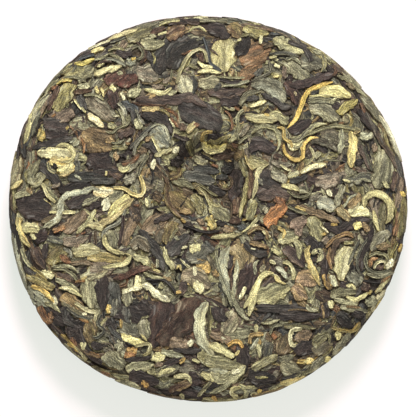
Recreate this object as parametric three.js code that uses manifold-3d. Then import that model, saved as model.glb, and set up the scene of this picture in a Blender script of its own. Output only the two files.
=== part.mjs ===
// A round pressed cake of large dried tea leaves, lying with its dimpled side up.
// Millimetres, +Z up. The origin is the centre of the face that the cake rests on.

import * as THREE from 'three';
import { mergeVertices } from 'three/addons/utils/BufferGeometryUtils.js';
import loadManifold from 'manifold-3d';

// Driving dimensions, in millimetres.
const cakeRadius = 99.6; // mean radius at the waist, the widest line round the edge
const waistHeight = 17; // the waist above the table
const crownRise = 7.4; // the top face above the waist
const crownPower = 10; // how squarely the top face turns down into the edge
const bellyDrop = 17.5; // the waist above the lowest point of an unflattened underside
const bellyPower = 6; // how softly the edge turns in to the flat underside
const edgeLimit = 0.972; // leaves of the top face stop at this share of the radius

const dimple = { x: 0.8, y: 11.5, halfWidth: 22, halfLength: 25, depth: 8.5, brim: 1.05 };
// The flat floor takes up this share of the dimple: least, and most on its steepest side.
const dimpleFloor = { least: 0.44, most: 0.6, steepSide: 2.36 };

// The top face rises and falls a little: height and spacing of its swells.
const broadSwell = { height: 0.3, acrossX: 19, acrossY: 23 };
const fineSwell = { height: 0.16, acrossX: 8.3, acrossY: 11.9 };

// The outline isn't a true circle: lobes, size in millimetres and phase in degrees.
const outlineLobes = [[1, 0.88, 140], [2, 0.7, -41], [3, 0.73, 39], [4, 0.42, 146], [5, 0.39, 7]];

const coreInset = 1.1; // the dense body lies this far under the leaves' outer faces
const baseInset = 0.7; // the same on the underside
const leafRoot = 2.7; // leaves reach this far below the cake's outer face
const tipSink = 1.6; // their ends dip this far below it, into the body
const lowestLeaf = -0.35; // height of the lowest layer of leaves against the mean face
const leafStep = 0.13; // height between one layer of leaves and the next
const leafLayers = 6;
const leafShape = { wide: 6, rim: 0.15, levelPart: 0.4, tip: 0.3, fullness: 0.4 };

const weldDistance = 1e-4; // corners closer than this are one corner

const coreSides = 32;
// Rings of the dense body, as shares of its radius, from the middle out.
const topRings = [0, 0.1, 0.17, 0.24, 0.3, 0.55, 0.8, 0.92, 0.98];
const bellyRings = [0.98, 0.9, 0.78, 0.66, 0];

// The large leaves, buds and stalks of the top face: width, then points along the middle.
const northWestLeaves = [
  [8, [-24, 66], [-24, 75], [-18, 83], [-9, 86.5]],
  [8, [-19, 70], [-17, 78], [-9, 82.5], [-4, 83.5]],
  [4.5, [-31, 82], [-21.5, 82.5]],
  [4.5, [-40, 83.5], [-34, 86.5], [-28, 89]],
  [7, [-35, 66.5], [-24, 65.5]],
  [6.5, [-45, 60.5], [-40, 63], [-36, 67]],
  [6.5, [-12, 66], [-12.5, 61], [-8.5, 55]],
  [5.5, [-36, 54], [-28, 53.5], [-15, 54], [-8, 54.5], [0, 50]],
  [2.4, [-15.5, 62], [-13, 70], [-9, 77], [-4, 80], [-1, 78], [0, 73]],
  [9, [-60, 55.5], [-54, 50], [-47, 43]],
  [3, [-57, 66.5], [-50, 69], [-43, 71.3]],
  [7, [-71, 64], [-72, 56], [-74, 48]],
  [7, [-83, 42], [-76, 43], [-70, 39]],
  [8.5, [-60.5, 35], [-56, 34], [-52.5, 32]],
  [11, [-60, 24], [-54, 22], [-48, 20]],
  [4, [-88, 29], [-80, 31], [-72, 33], [-66, 34]],
  [6.5, [-85.5, 26.5], [-79, 27], [-73, 26.5], [-68.5, 25]],
  [6, [-57, 7], [-52, 6.5], [-47, 7]],
  [2.4, [-47, 8.5], [-42, 8], [-38, 5.5], [-33, 5], [-32, 9], [-34, 15]],
  [6, [-33, 45.5], [-26, 45], [-21, 42], [-18, 36]],
  [7.5, [-28, 38.5], [-24, 35], [-19, 31]],
  [14, [-15, 50], [-3, 46], [8, 42]],
];
const northEastLeaves = [
  [11, [8, 84.5], [8.5, 77], [8.5, 68.5]],
  [7.5, [17, 74.5], [24, 77.5], [30, 78.5]],
  [5, [32, 85], [40, 81.5], [48, 78]],
  [9, [49, 75], [57, 73]],
  [6.5, [-4.5, 62], [2, 62.5], [8, 61]],
  [8, [22, 61.5], [30, 62], [36, 57], [38, 52]],
  [5, [57, 57.5], [64, 58.5], [72, 55]],
  [9, [52, 48], [58, 50], [66, 45]],
  [2.6, [63, 63], [57, 61], [50, 57], [47, 50], [45, 45], [40, 39]],
  [8, [21, 31], [27, 31], [33, 27]],
  [2.6, [38.3, 31], [38.5, 27], [42, 23.5], [46, 23], [48, 26], [48.5, 30], [52, 33.5], [57, 34]],
  [4.2, [71.5, 37], [73, 31], [72, 25], [72, 19]],
  [9, [89, 27], [88, 19], [85, 11]],
  [7, [54, 12], [60, 12], [66, 13]],
  [7.5, [55, 2], [60, 0], [63, -3]],
  [8, [25, 4], [33, 7], [41, 4]],
];
const dimpleLeaves = [
  [8, [-12, 15], [-4, 15], [4, 15.5]],
  [2.8, [3, 37.3], [-1, 36.5], [-2.5, 32], [1, 29], [6, 28], [9.5, 30]],
  [2.6, [17, 21], [19, 17], [18.7, 10], [17.8, 3], [16.8, -6]],
  [2.6, [26, 20], [24, 15], [23.5, 8], [22.5, 2]],
];
const southWestLeaves = [
  [13, [-90, 0], [-85, 1], [-80, -2]],
  [6.5, [-70, -12], [-66, -8], [-63, -6]],
  [4, [-37, 3], [-42, -1.5], [-47, -6], [-53, -10], [-58, -11.5]],
  [2.6, [-51.5, -15], [-51, -20], [-47, -24], [-41, -25.5], [-38.5, -27], [-41, -30], [-53, -32]],
  [6, [-42, -21], [-40, -13], [-35, -6]],
  [6, [-33, -12], [-29, -9], [-22, -3]],
  [3.6, [-33.5, -14], [-29, -19], [-25, -25], [-22, -33]],
  [7, [-20, -24], [-14, -22], [-9, -17]],
  [7, [-62, -36], [-58, -42], [-57, -50]],
  [14, [-6, -47], [-12, -58], [-22, -70]],
  [4, [-34, -37], [-34.5, -41], [-29, -42.5], [-25, -46], [-18.5, -49.5]],
  [4.6, [0, -50], [-3.2, -58], [-2.8, -67], [0, -74], [5.5, -77]],
  [6, [-12, -36.5], [-5, -37], [1, -42]],
  [5.5, [-42, -62.5], [-37, -65], [-32, -64]],
  [4, [-39, -84], [-33, -82], [-27, -81.5]],
];
const southEastLeaves = [
  [8.5, [28, -9], [34, -5], [40, -1.5]],
  [4, [44, -1], [52, -3.5], [60, -6.5], [66, -9.5]],
  [8.5, [16, -21], [17, -27], [17, -35]],
  [3.8, [11, -22], [8, -27], [7.5, -33], [10, -41], [13, -50]],
  [6, [23, -29], [20, -36], [15, -46]],
  [7.5, [24, -47], [30, -44.5], [38, -43]],
  [3.2, [33, -35], [29.5, -35], [26.5, -38], [23, -45], [18, -53]],
  [8, [45, -37], [50, -38], [53, -41]],
  [3, [51, -21], [49.5, -25], [51.5, -31], [54, -37], [56, -41]],
  [6, [70, -22.5], [66.5, -27], [67, -38]],
  [5, [58, -10], [66, -13], [72, -10], [82, -7.5]],
  [4, [78, -2], [79, 3], [83, 5.5], [88, 4], [91, 0], [91, -6], [89, -10]],
  [5, [93.5, 3], [94, -5], [93, -13]],
  [2.4, [84, -25], [80, -27], [79.5, -31], [82.5, -34.5], [87, -34.5], [91, -32]],
  [6, [-5, -76], [4, -80], [18, -81]],
  [6, [0, -87], [7, -89], [14, -86.5], [19, -82]],
  [4.5, [22, -84], [28, -80], [35, -77]],
  [7, [38, -84], [47, -80]],
];

// Leaves pressed along the edge, in rows: height along the edge above the waist, and number.
const edgeRows = [[4.5, 8], [-3.5, 8], [-12, 8]];
const edgeLeaf = { shortest: 40, longest: 62, narrowest: 5, widest: 7.4, wander: 1.8, bow: 0.7 };
const edgeStagger = 0.12; // share of the spacing by which a leaf is out of step
const edgeLayers = 3;

// Leaves that lie flat on the underside, in rings: radius and number.
const baseRings = [[25, 5], [50, 8]];
const baseLeaf = { length: 29, width: 18, turn: 0.2, unevenness: 0.1 };

// A small repeatable random number generator.
let seed = 20357;
function random(low, high) {
  seed = (seed * 16807) % 2147483647;
  return low + (high - low) * (seed / 2147483647);
}

function outline(angle) {
  let share = 1;
  for (const [lobes, size, phase] of outlineLobes) {
    share += (size / cakeRadius) * Math.cos(lobes * angle - THREE.MathUtils.degToRad(phase));
  }
  return share;
}

function crownHeight(share, inset) {
  return waistHeight + (crownRise - inset) * Math.sqrt(1 - share ** crownPower);
}

function bellyHeight(share, inset) {
  const height = waistHeight - (bellyDrop - inset) * Math.sqrt(1 - share ** bellyPower);
  return Math.max(inset, height);
}

function dimpleDrop(x, y) {
  const across = (x - dimple.x) / dimple.halfWidth;
  const along = (y - dimple.y) / dimple.halfLength;
  const reach = Math.hypot(across, along);
  const steepness = (1 + Math.cos(Math.atan2(along, across) - dimpleFloor.steepSide)) / 2;
  const floor = THREE.MathUtils.lerp(dimpleFloor.least, dimpleFloor.most, steepness);
  return dimple.depth * (1 - THREE.MathUtils.smoothstep(reach, floor, dimple.brim));
}

// The gentle unevenness of the pressed top face.
function swell(x, y) {
  const broad = Math.sin(x / broadSwell.acrossX) * Math.cos(y / broadSwell.acrossY);
  const fine = Math.sin(x / fineSwell.acrossX - y / fineSwell.acrossY);
  return broadSwell.height * broad + fineSwell.height * fine;
}

// The profile from the waist up and down, by distance along it, for the leaves of the edge.
const profile = [];
const profileSteps = 48;
for (let i = profileSteps; i > 0; i -= 1) {
  const share = 1 - (i / profileSteps) ** 3;
  profile.push(new THREE.Vector2(share * cakeRadius, crownHeight(share, 0)));
}
const waistIndex = profile.length;
for (let i = 0; i < profileSteps; i += 1) {
  const share = 1 - (i / profileSteps) ** 3;
  profile.push(new THREE.Vector2(share * cakeRadius, bellyHeight(share, 0)));
}
const profileDistance = [0];
for (let i = 1; i < profile.length; i += 1) {
  profileDistance.push(profileDistance[i - 1] + profile[i].distanceTo(profile[i - 1]));
}

// A point at a lift above the top face, from its place seen from above.
function onTop(x, y, lift) {
  const angle = Math.atan2(y, x);
  const edge = cakeRadius * outline(angle);
  const radius = Math.min(Math.hypot(x, y), edge * edgeLimit);
  const px = radius * Math.cos(angle);
  const py = radius * Math.sin(angle);
  const height = crownHeight(radius / edge, 0) - dimpleDrop(px, py) + swell(px, py);
  return new THREE.Vector3(px, py, height + lift);
}

// A point on the edge: along is the distance round it, up the distance above the waist.
function onEdge(along, up, lift) {
  const angle = along / cakeRadius;
  const place = profileDistance[waistIndex] - up;
  let i = 1;
  while (i < profile.length - 1 && profileDistance[i] < place) {
    i += 1;
  }
  const step = profile[i].clone().sub(profile[i - 1]);
  const part = (place - profileDistance[i - 1]) / step.length();
  const spot = profile[i - 1].clone().addScaledVector(step, part);
  const outward = new THREE.Vector2(-step.y, step.x).normalize();
  spot.addScaledVector(outward, lift);
  const radius = spot.x * outline(angle);
  return new THREE.Vector3(radius * Math.cos(angle), radius * Math.sin(angle), Math.max(0, spot.y));
}

// A point on the flat underside, seen from below.
function onBase(x, y, lift) {
  return new THREE.Vector3(-x, y, -lift);
}

// One leaf: a thin flat-topped solid that follows a line over a face of the cake.
function leafGeometry(points, width, lift, place) {
  const line = new THREE.CatmullRomCurve3(points.map(([x, y]) => new THREE.Vector3(x, y, 0)));
  const segments = points.length + 1;
  const sides = width < leafShape.wide ? 4 : 6;
  const firstSide = sides === 6 ? Math.PI / 6 : 0;
  const geometry = new THREE.CylinderGeometry(1, 1, 1, sides, segments, false, firstSide);
  const position = geometry.attributes.position;
  for (let i = 0; i < position.count; i += 1) {
    const share = THREE.MathUtils.clamp(position.getY(i) + 0.5, 0, 1);
    const middle = line.getPoint(share);
    const heading = line.getTangent(share);
    const fromMiddle = Math.abs(2 * share - 1);
    const end = Math.max(0, (fromMiddle - leafShape.levelPart) / (1 - leafShape.levelPart)) ** 3;
    const body = Math.sin(Math.PI * share) ** leafShape.fullness;
    const side = position.getX(i) * (width / 2) * THREE.MathUtils.lerp(leafShape.tip, 1, body);
    const top = lift - (lift + tipSink) * end;
    let height = Math.min(leafShape.rim - coreInset, top - leafShape.rim);
    if (position.getZ(i) > 0.4) {
      height = top;
    } else if (position.getZ(i) < -0.4) {
      height = -leafRoot;
    }
    const spot = place(middle.x + heading.y * side, middle.y - heading.x * side, height);
    position.setXYZ(i, spot.x, spot.y, spot.z);
  }
  return geometry;
}

// The dense body under the leaves, a lathe shape with the cake's own unevenness.
function coreGeometry() {
  const outlinePoints = [];
  for (const share of [...bellyRings].reverse()) {
    const radius = share * (cakeRadius - coreInset);
    outlinePoints.push(new THREE.Vector2(radius, bellyHeight(share, baseInset)));
  }
  outlinePoints.push(new THREE.Vector2(cakeRadius - coreInset, waistHeight));
  for (const share of [...topRings].reverse()) {
    const radius = share * (cakeRadius - coreInset);
    outlinePoints.push(new THREE.Vector2(radius, crownHeight(share, coreInset)));
  }
  const geometry = new THREE.LatheGeometry(outlinePoints, coreSides);
  geometry.rotateX(Math.PI / 2);
  const position = geometry.attributes.position;
  for (let i = 0; i < position.count; i += 1) {
    const factor = outline(Math.atan2(position.getY(i), position.getX(i)));
    const x = position.getX(i) * factor;
    const y = position.getY(i) * factor;
    const z = position.getZ(i);
    const crown = THREE.MathUtils.smoothstep(z, waistHeight, waistHeight + crownRise * 0.7);
    position.setXYZ(i, x, y, z + crown * (swell(x, y) - dimpleDrop(x, y)));
  }
  return geometry;
}

const library = await loadManifold();
library.setup();

// A closed geometry as a solid: its corners are merged and flat triangles dropped.
function solidFrom(geometry) {
  geometry.deleteAttribute('normal');
  geometry.deleteAttribute('uv');
  const merged = mergeVertices(geometry, weldDistance);
  const corners = merged.index.array;
  const kept = [];
  for (let i = 0; i < corners.length; i += 3) {
    const [a, b, c] = [corners[i], corners[i + 1], corners[i + 2]];
    if (a !== b && b !== c && c !== a) {
      kept.push(a, b, c);
    }
  }
  return new library.Manifold(new library.Mesh({
    numProp: 3,
    vertProperties: new Float32Array(merged.attributes.position.array),
    triVerts: new Uint32Array(kept),
  }));
}

function geometryFrom(solid) {
  const mesh = solid.getMesh();
  const geometry = new THREE.BufferGeometry();
  geometry.setAttribute('position', new THREE.BufferAttribute(mesh.vertProperties, 3));
  geometry.setIndex(new THREE.BufferAttribute(mesh.triVerts, 1));
  geometry.computeVertexNormals();
  return geometry;
}

function topSolids() {
  const rows = [
    ...northWestLeaves, ...northEastLeaves, ...dimpleLeaves, ...southWestLeaves, ...southEastLeaves,
  ];
  return rows.map(([width, ...points], order) => {
    const lift = lowestLeaf + leafStep * (order % leafLayers);
    return solidFrom(leafGeometry(points, width, lift, onTop));
  });
}

function edgeSolids() {
  const solids = [];
  edgeRows.forEach(([height, count], row) => {
    const spacing = (2 * Math.PI * cakeRadius) / count;
    for (let i = 0; i < count; i += 1) {
      const start = (i + (row % 2) / 2 + random(-edgeStagger, edgeStagger)) * spacing;
      const length = random(edgeLeaf.shortest, edgeLeaf.longest);
      const width = random(edgeLeaf.narrowest, edgeLeaf.widest);
      const drift = random(-edgeLeaf.wander, edgeLeaf.wander);
      const bow = random(-edgeLeaf.bow, edgeLeaf.bow);
      const points = [
        [start, height - drift], [start + length / 2, height + bow], [start + length, height + drift],
      ];
      const lift = lowestLeaf + leafStep * ((i + row) % edgeLayers);
      solids.push(solidFrom(leafGeometry(points, width, lift, onEdge)));
    }
  });
  return solids;
}

function baseSolids() {
  const half = baseLeaf.length / 2;
  const solids = [solidFrom(leafGeometry([[-half, 0], [half, 0]], baseLeaf.width, 0, onBase))];
  for (const [ring, count] of baseRings) {
    for (let i = 0; i < count; i += 1) {
      const angle = (i * 2 * Math.PI) / count + random(-baseLeaf.unevenness, baseLeaf.unevenness);
      const turn = angle + Math.PI / 2 + random(-baseLeaf.turn, baseLeaf.turn);
      const x = ring * Math.cos(angle);
      const y = ring * Math.sin(angle);
      const reach = half * random(1 - baseLeaf.unevenness, 1);
      const from = [x - reach * Math.cos(turn), y - reach * Math.sin(turn)];
      const to = [x + reach * Math.cos(turn), y + reach * Math.sin(turn)];
      const width = baseLeaf.width * random(1 - baseLeaf.unevenness, 1);
      solids.push(solidFrom(leafGeometry([from, to], width, 0, onBase)));
    }
  }
  return solids;
}

let cakeSolid = solidFrom(coreGeometry());
for (const leaf of [...topSolids(), ...edgeSolids(), ...baseSolids()]) {
  cakeSolid = cakeSolid.add(leaf);
}
const cakePieces = cakeSolid.decompose().sort((a, b) => b.volume() - a.volume());

const pressedTea = new THREE.MeshStandardMaterial({ color: 0x7a7159, roughness: 0.62, metalness: 0 });
const teaCake = new THREE.Mesh(geometryFrom(cakePieces[0]), pressedTea);
teaCake.name = 'tea_cake';

const model = new THREE.Group();
model.add(teaCake);

export default model;
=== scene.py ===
import math

import bmesh
import bpy
import numpy as np
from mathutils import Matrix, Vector


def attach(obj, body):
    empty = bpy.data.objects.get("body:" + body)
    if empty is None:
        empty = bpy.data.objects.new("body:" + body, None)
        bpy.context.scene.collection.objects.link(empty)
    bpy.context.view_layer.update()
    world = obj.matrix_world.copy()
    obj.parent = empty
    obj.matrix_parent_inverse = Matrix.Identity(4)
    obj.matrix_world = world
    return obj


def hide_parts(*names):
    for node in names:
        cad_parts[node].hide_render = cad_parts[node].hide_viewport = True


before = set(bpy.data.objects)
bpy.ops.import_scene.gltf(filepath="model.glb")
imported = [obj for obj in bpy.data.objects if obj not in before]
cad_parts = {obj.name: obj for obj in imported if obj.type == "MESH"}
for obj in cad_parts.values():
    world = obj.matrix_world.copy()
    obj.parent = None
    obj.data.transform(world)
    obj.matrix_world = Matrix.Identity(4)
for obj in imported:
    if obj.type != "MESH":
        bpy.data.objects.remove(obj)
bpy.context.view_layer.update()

mm = 0.001
# added where a length or a width is divided by, so that it is never nothing
tiny = {"length": 1e-9, "width": 1e-6}

# the form of the cake, in millimetres, as in the solid model
cakeForm = {
    "radius": 99.6,
    "waistHeight": 17.0,
    "crownRise": 7.4,
    "crownPower": 10,
    "bellyDrop": 17.5,
    "bellyPower": 6,
    # unevenness of the outline: how many waves round it, how high, and their phase in degrees
    "lobes": [(1, 0.88, 140), (2, 0.7, -41), (3, 0.73, 39), (4, 0.42, 146), (5, 0.39, 7)],
    "lastShare": 0.985,  # beyond this share of the radius the top's leaves turn down over the edge
    "wrap": 2.2,  # how far down they go for each millimetre beyond
    "highest": 25.05,
    "faceEnd": 0.9995,  # the share of the radius where the height of the top face is last taken
    "slopeStep": 0.25,  # how far to each side the slope of the top face is taken
    "sectionPoints": 60,
    "sectionStep": 0.6,  # how far to each side the slope of the edge is taken
}
# the floor of the dimple reaches out from leastFloor to mostFloor, widest towards steepSide
dimple = {
    "x": 0.8,
    "y": 11.5,
    "halfWidth": 22,
    "halfLength": 25,
    "depth": 8.5,
    "brim": 1.05,
    "leastFloor": 0.44,
    "mostFloor": 0.6,
    "steepSide": 2.36,  # radians
}
# unevenness of the top face: how high, and how long in x and in y
swells = {"broad": (0.3, 19, 23), "fine": (0.16, 8.3, 11.9)}


def smoothStep(value, low, high):
    share = np.clip((value - low) / (high - low), 0, 1)
    return share * share * (3 - 2 * share)


def outlineAt(angle):
    share = np.ones_like(angle)
    for count, size, phase in cakeForm["lobes"]:
        share += size / cakeForm["radius"] * np.cos(count * angle - math.radians(phase))
    return share


def crownHeight(share, inset=0.0):
    rise = cakeForm["crownRise"] - inset
    return cakeForm["waistHeight"] + rise * np.sqrt(1 - share ** cakeForm["crownPower"])


def bellyHeight(share, inset=0.0):
    drop = cakeForm["bellyDrop"] - inset
    height = cakeForm["waistHeight"] - drop * np.sqrt(1 - share ** cakeForm["bellyPower"])
    return np.maximum(inset, height)


def dimpleDrop(x, y):
    across = (x - dimple["x"]) / dimple["halfWidth"]
    along = (y - dimple["y"]) / dimple["halfLength"]
    steepness = (1 + np.cos(np.arctan2(along, across) - dimple["steepSide"])) / 2
    floor = dimple["leastFloor"] + (dimple["mostFloor"] - dimple["leastFloor"]) * steepness
    return dimple["depth"] * (1 - smoothStep(np.hypot(across, along), floor, dimple["brim"]))


def swell(x, y):
    height, acrossX, acrossY = swells["broad"]
    fineHeight, fineX, fineY = swells["fine"]
    broad = height * np.sin(x / acrossX) * np.cos(y / acrossY)
    return broad + fineHeight * np.sin(x / fineX - y / fineY)


def topHeight(x, y):
    edge = cakeForm["radius"] * outlineAt(np.arctan2(y, x))
    share = np.minimum(np.hypot(x, y) / edge, cakeForm["faceEnd"])
    return crownHeight(share) - dimpleDrop(x, y) + swell(x, y)


# a place above the top face: x, y seen from above, lifted square to the face
def onTop(x, y, lift):
    angle = np.arctan2(y, x)
    edge = cakeForm["radius"] * outlineAt(angle)
    over = np.hypot(x, y) - edge * cakeForm["lastShare"]
    radius = np.minimum(np.hypot(x, y), edge * cakeForm["lastShare"])
    x, y = radius * np.cos(angle), radius * np.sin(angle)
    step = cakeForm["slopeStep"]
    slopeX = (topHeight(x + step, y) - topHeight(x - step, y)) / (2 * step)
    slopeY = (topHeight(x, y + step) - topHeight(x, y - step)) / (2 * step)
    size = np.sqrt(1 + slopeX**2 + slopeY**2)
    z = np.minimum(topHeight(x, y) + lift / size, cakeForm["highest"])
    above = np.stack([x - slopeX / size * lift, y - slopeY / size * lift, z], 1)
    beside = onEdge(angle * cakeForm["radius"], lastUp - over * cakeForm["wrap"], lift)
    return np.where(over[:, None] > 0, beside, above)


# the outline of the edge in section, from the top face over the waist to the underside
shares = 1 - np.linspace(1, 0, cakeForm["sectionPoints"]) ** 3
sectionRadius = np.concatenate([shares, shares[::-1][1:]]) * cakeForm["radius"]
sectionHeight = np.concatenate([crownHeight(shares), bellyHeight(shares)[::-1][1:]])
sectionSteps = np.hypot(np.diff(sectionRadius), np.diff(sectionHeight))
sectionRun = np.concatenate([[0], np.cumsum(sectionSteps)])
waistRun = sectionRun[len(shares) - 1]
lastUp = waistRun - np.interp(cakeForm["lastShare"], shares, sectionRun[:len(shares)])


# a place on the edge: along is the way round it, up the way above the waist
def onEdge(along, up, lift):
    angle = along / cakeForm["radius"]
    run = waistRun - up
    radius = np.interp(run, sectionRun, sectionRadius)
    height = np.interp(run, sectionRun, sectionHeight)
    ahead, behind = run + cakeForm["sectionStep"], run - cakeForm["sectionStep"]
    outward = np.interp(behind, sectionRun, sectionHeight) - np.interp(ahead, sectionRun, sectionHeight)
    upward = np.interp(ahead, sectionRun, sectionRadius) - np.interp(behind, sectionRun, sectionRadius)
    size = np.hypot(outward, upward) + tiny["length"]
    radius = (radius + lift * outward / size) * outlineAt(angle)
    height = np.maximum(height + lift * upward / size, 0)
    return np.stack([radius * np.cos(angle), radius * np.sin(angle), height], 1)


# a place on the flat underside, seen from below
def onBase(x, y, lift):
    share = np.hypot(x, y) / cakeForm["radius"]
    return np.stack([-x, y, np.maximum(bellyHeight(share) - lift, 0)], 1)


# the leaf shapes, each modelled once: its outline is its width from one end to the other
leafShapes = {
    "broad": {"columns": 8, "rows": 8, "middle": 0.9,
              "outline": [0.6, 0.84, 0.95, 1, 0.98, 0.92, 0.8, 0.58, 0.22]},
    "torn": {"columns": 8, "rows": 8, "middle": 0.95,
             "outline": [0.66, 0.86, 1, 0.92, 0.98, 1, 0.9, 0.84, 0.56]},
    "bud": {"columns": 8, "rows": 6, "middle": 1.0,
            "outline": [0.48, 0.8, 0.94, 1, 0.95, 0.98, 0.88, 0.68, 0.3]},
    "strap": {"columns": 14, "rows": 6, "middle": 0.9,
              "outline": [0.2, 0.62, 0.85, 0.95, 1, 1, 1, 1, 1, 1, 0.96, 0.9, 0.78, 0.55, 0.15]},
    "stem": {"columns": 14, "rows": 6, "middle": 1.1,
             "outline": [0.7, 0.86, 0.9, 0.95, 0.9, 0.95, 1, 0.95, 0.92, 0.98, 1, 0.94, 0.9, 0.85, 0.6]},
}
# for each row out from the middle: where it goes, and its height
leafRows = {
    6: [(0, None), (0.6, 0.96), (0.94, 0.78), (1, -1)],
    8: [(0, None), (0.34, 1.0), (0.68, 0.95), (0.95, 0.8), (1, -1)],
}
tipDip = 0.8  # how far a leaf's ends are turned down
besideTip = 0.22  # how far the next points in from the ends are, as a share of that
crispAngle = math.radians(38)  # a sharper bend is shaded as a crease


def deselectAll():
    if bpy.context.object and bpy.context.object.mode != "OBJECT":
        bpy.ops.object.mode_set(mode="OBJECT")
    bpy.ops.object.select_all(action="DESELECT")


def selectWhere(test):
    mesh = bmesh.from_edit_mesh(bpy.context.object.data)
    for vert in mesh.verts:
        vert.select = test(vert.co)
    mesh.select_flush_mode()
    bmesh.update_edit_mesh(bpy.context.object.data)


def modelLeaf(name, shape):
    deselectAll()
    columns, rows = shape["columns"], shape["rows"]
    bpy.ops.mesh.primitive_grid_add(x_subdivisions=columns, y_subdivisions=rows, size=2)
    leaf = bpy.context.object
    leaf.name = name
    bpy.ops.object.mode_set(mode="EDIT")
    bpy.ops.mesh.select_mode(type="VERT")
    near = 0.02  # points this close to a row or a column belong to it
    for step, (goal, height) in list(enumerate(leafRows[rows]))[::-1]:
        away = 2 * step / rows
        selectWhere(lambda co: abs(abs(co.y) - away) < near)
        if step:
            bpy.ops.transform.resize(value=(1, goal / away, 1), center_override=(0, 0, 0))
        bpy.ops.transform.translate(value=(0, 0, shape["middle"] if height is None else height))
    for column, wide in enumerate(shape["outline"]):
        place = -1 + 2 * column / columns
        selectWhere(lambda co: abs(co.x - place) < near)
        bpy.ops.transform.resize(value=(1, wide, 1), center_override=(0, 0, 0))
        if column in (0, columns):
            bpy.ops.transform.translate(value=(0, 0, -tipDip))
        if column in (1, columns - 1):
            bpy.ops.transform.translate(value=(0, 0, -tipDip * besideTip))
    bpy.ops.mesh.select_all(action="SELECT")
    bpy.ops.mesh.normals_make_consistent(inside=False)
    bpy.ops.object.mode_set(mode="OBJECT")
    bpy.ops.object.shade_smooth_by_angle(angle=crispAngle)
    leaf.data.uv_layers[0].name = "leafRun"
    leaf.data.color_attributes.new(name="leafTone", type="FLOAT_COLOR", domain="POINT")
    leaf.data.color_attributes.new(name="leafPlace", type="FLOAT_COLOR", domain="POINT")
    points = np.zeros(len(leaf.data.vertices) * 3)
    leaf.data.vertices.foreach_get("co", points)
    corners = np.zeros(len(leaf.data.loops), dtype=np.int32)
    leaf.data.loops.foreach_get("vertex_index", corners)
    return {"object": leaf, "points": points.reshape(-1, 3), "corners": corners}


models = {name: modelLeaf(name, shape) for name, shape in leafShapes.items()}
print("leaf shapes modelled:", ", ".join(models))

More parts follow.
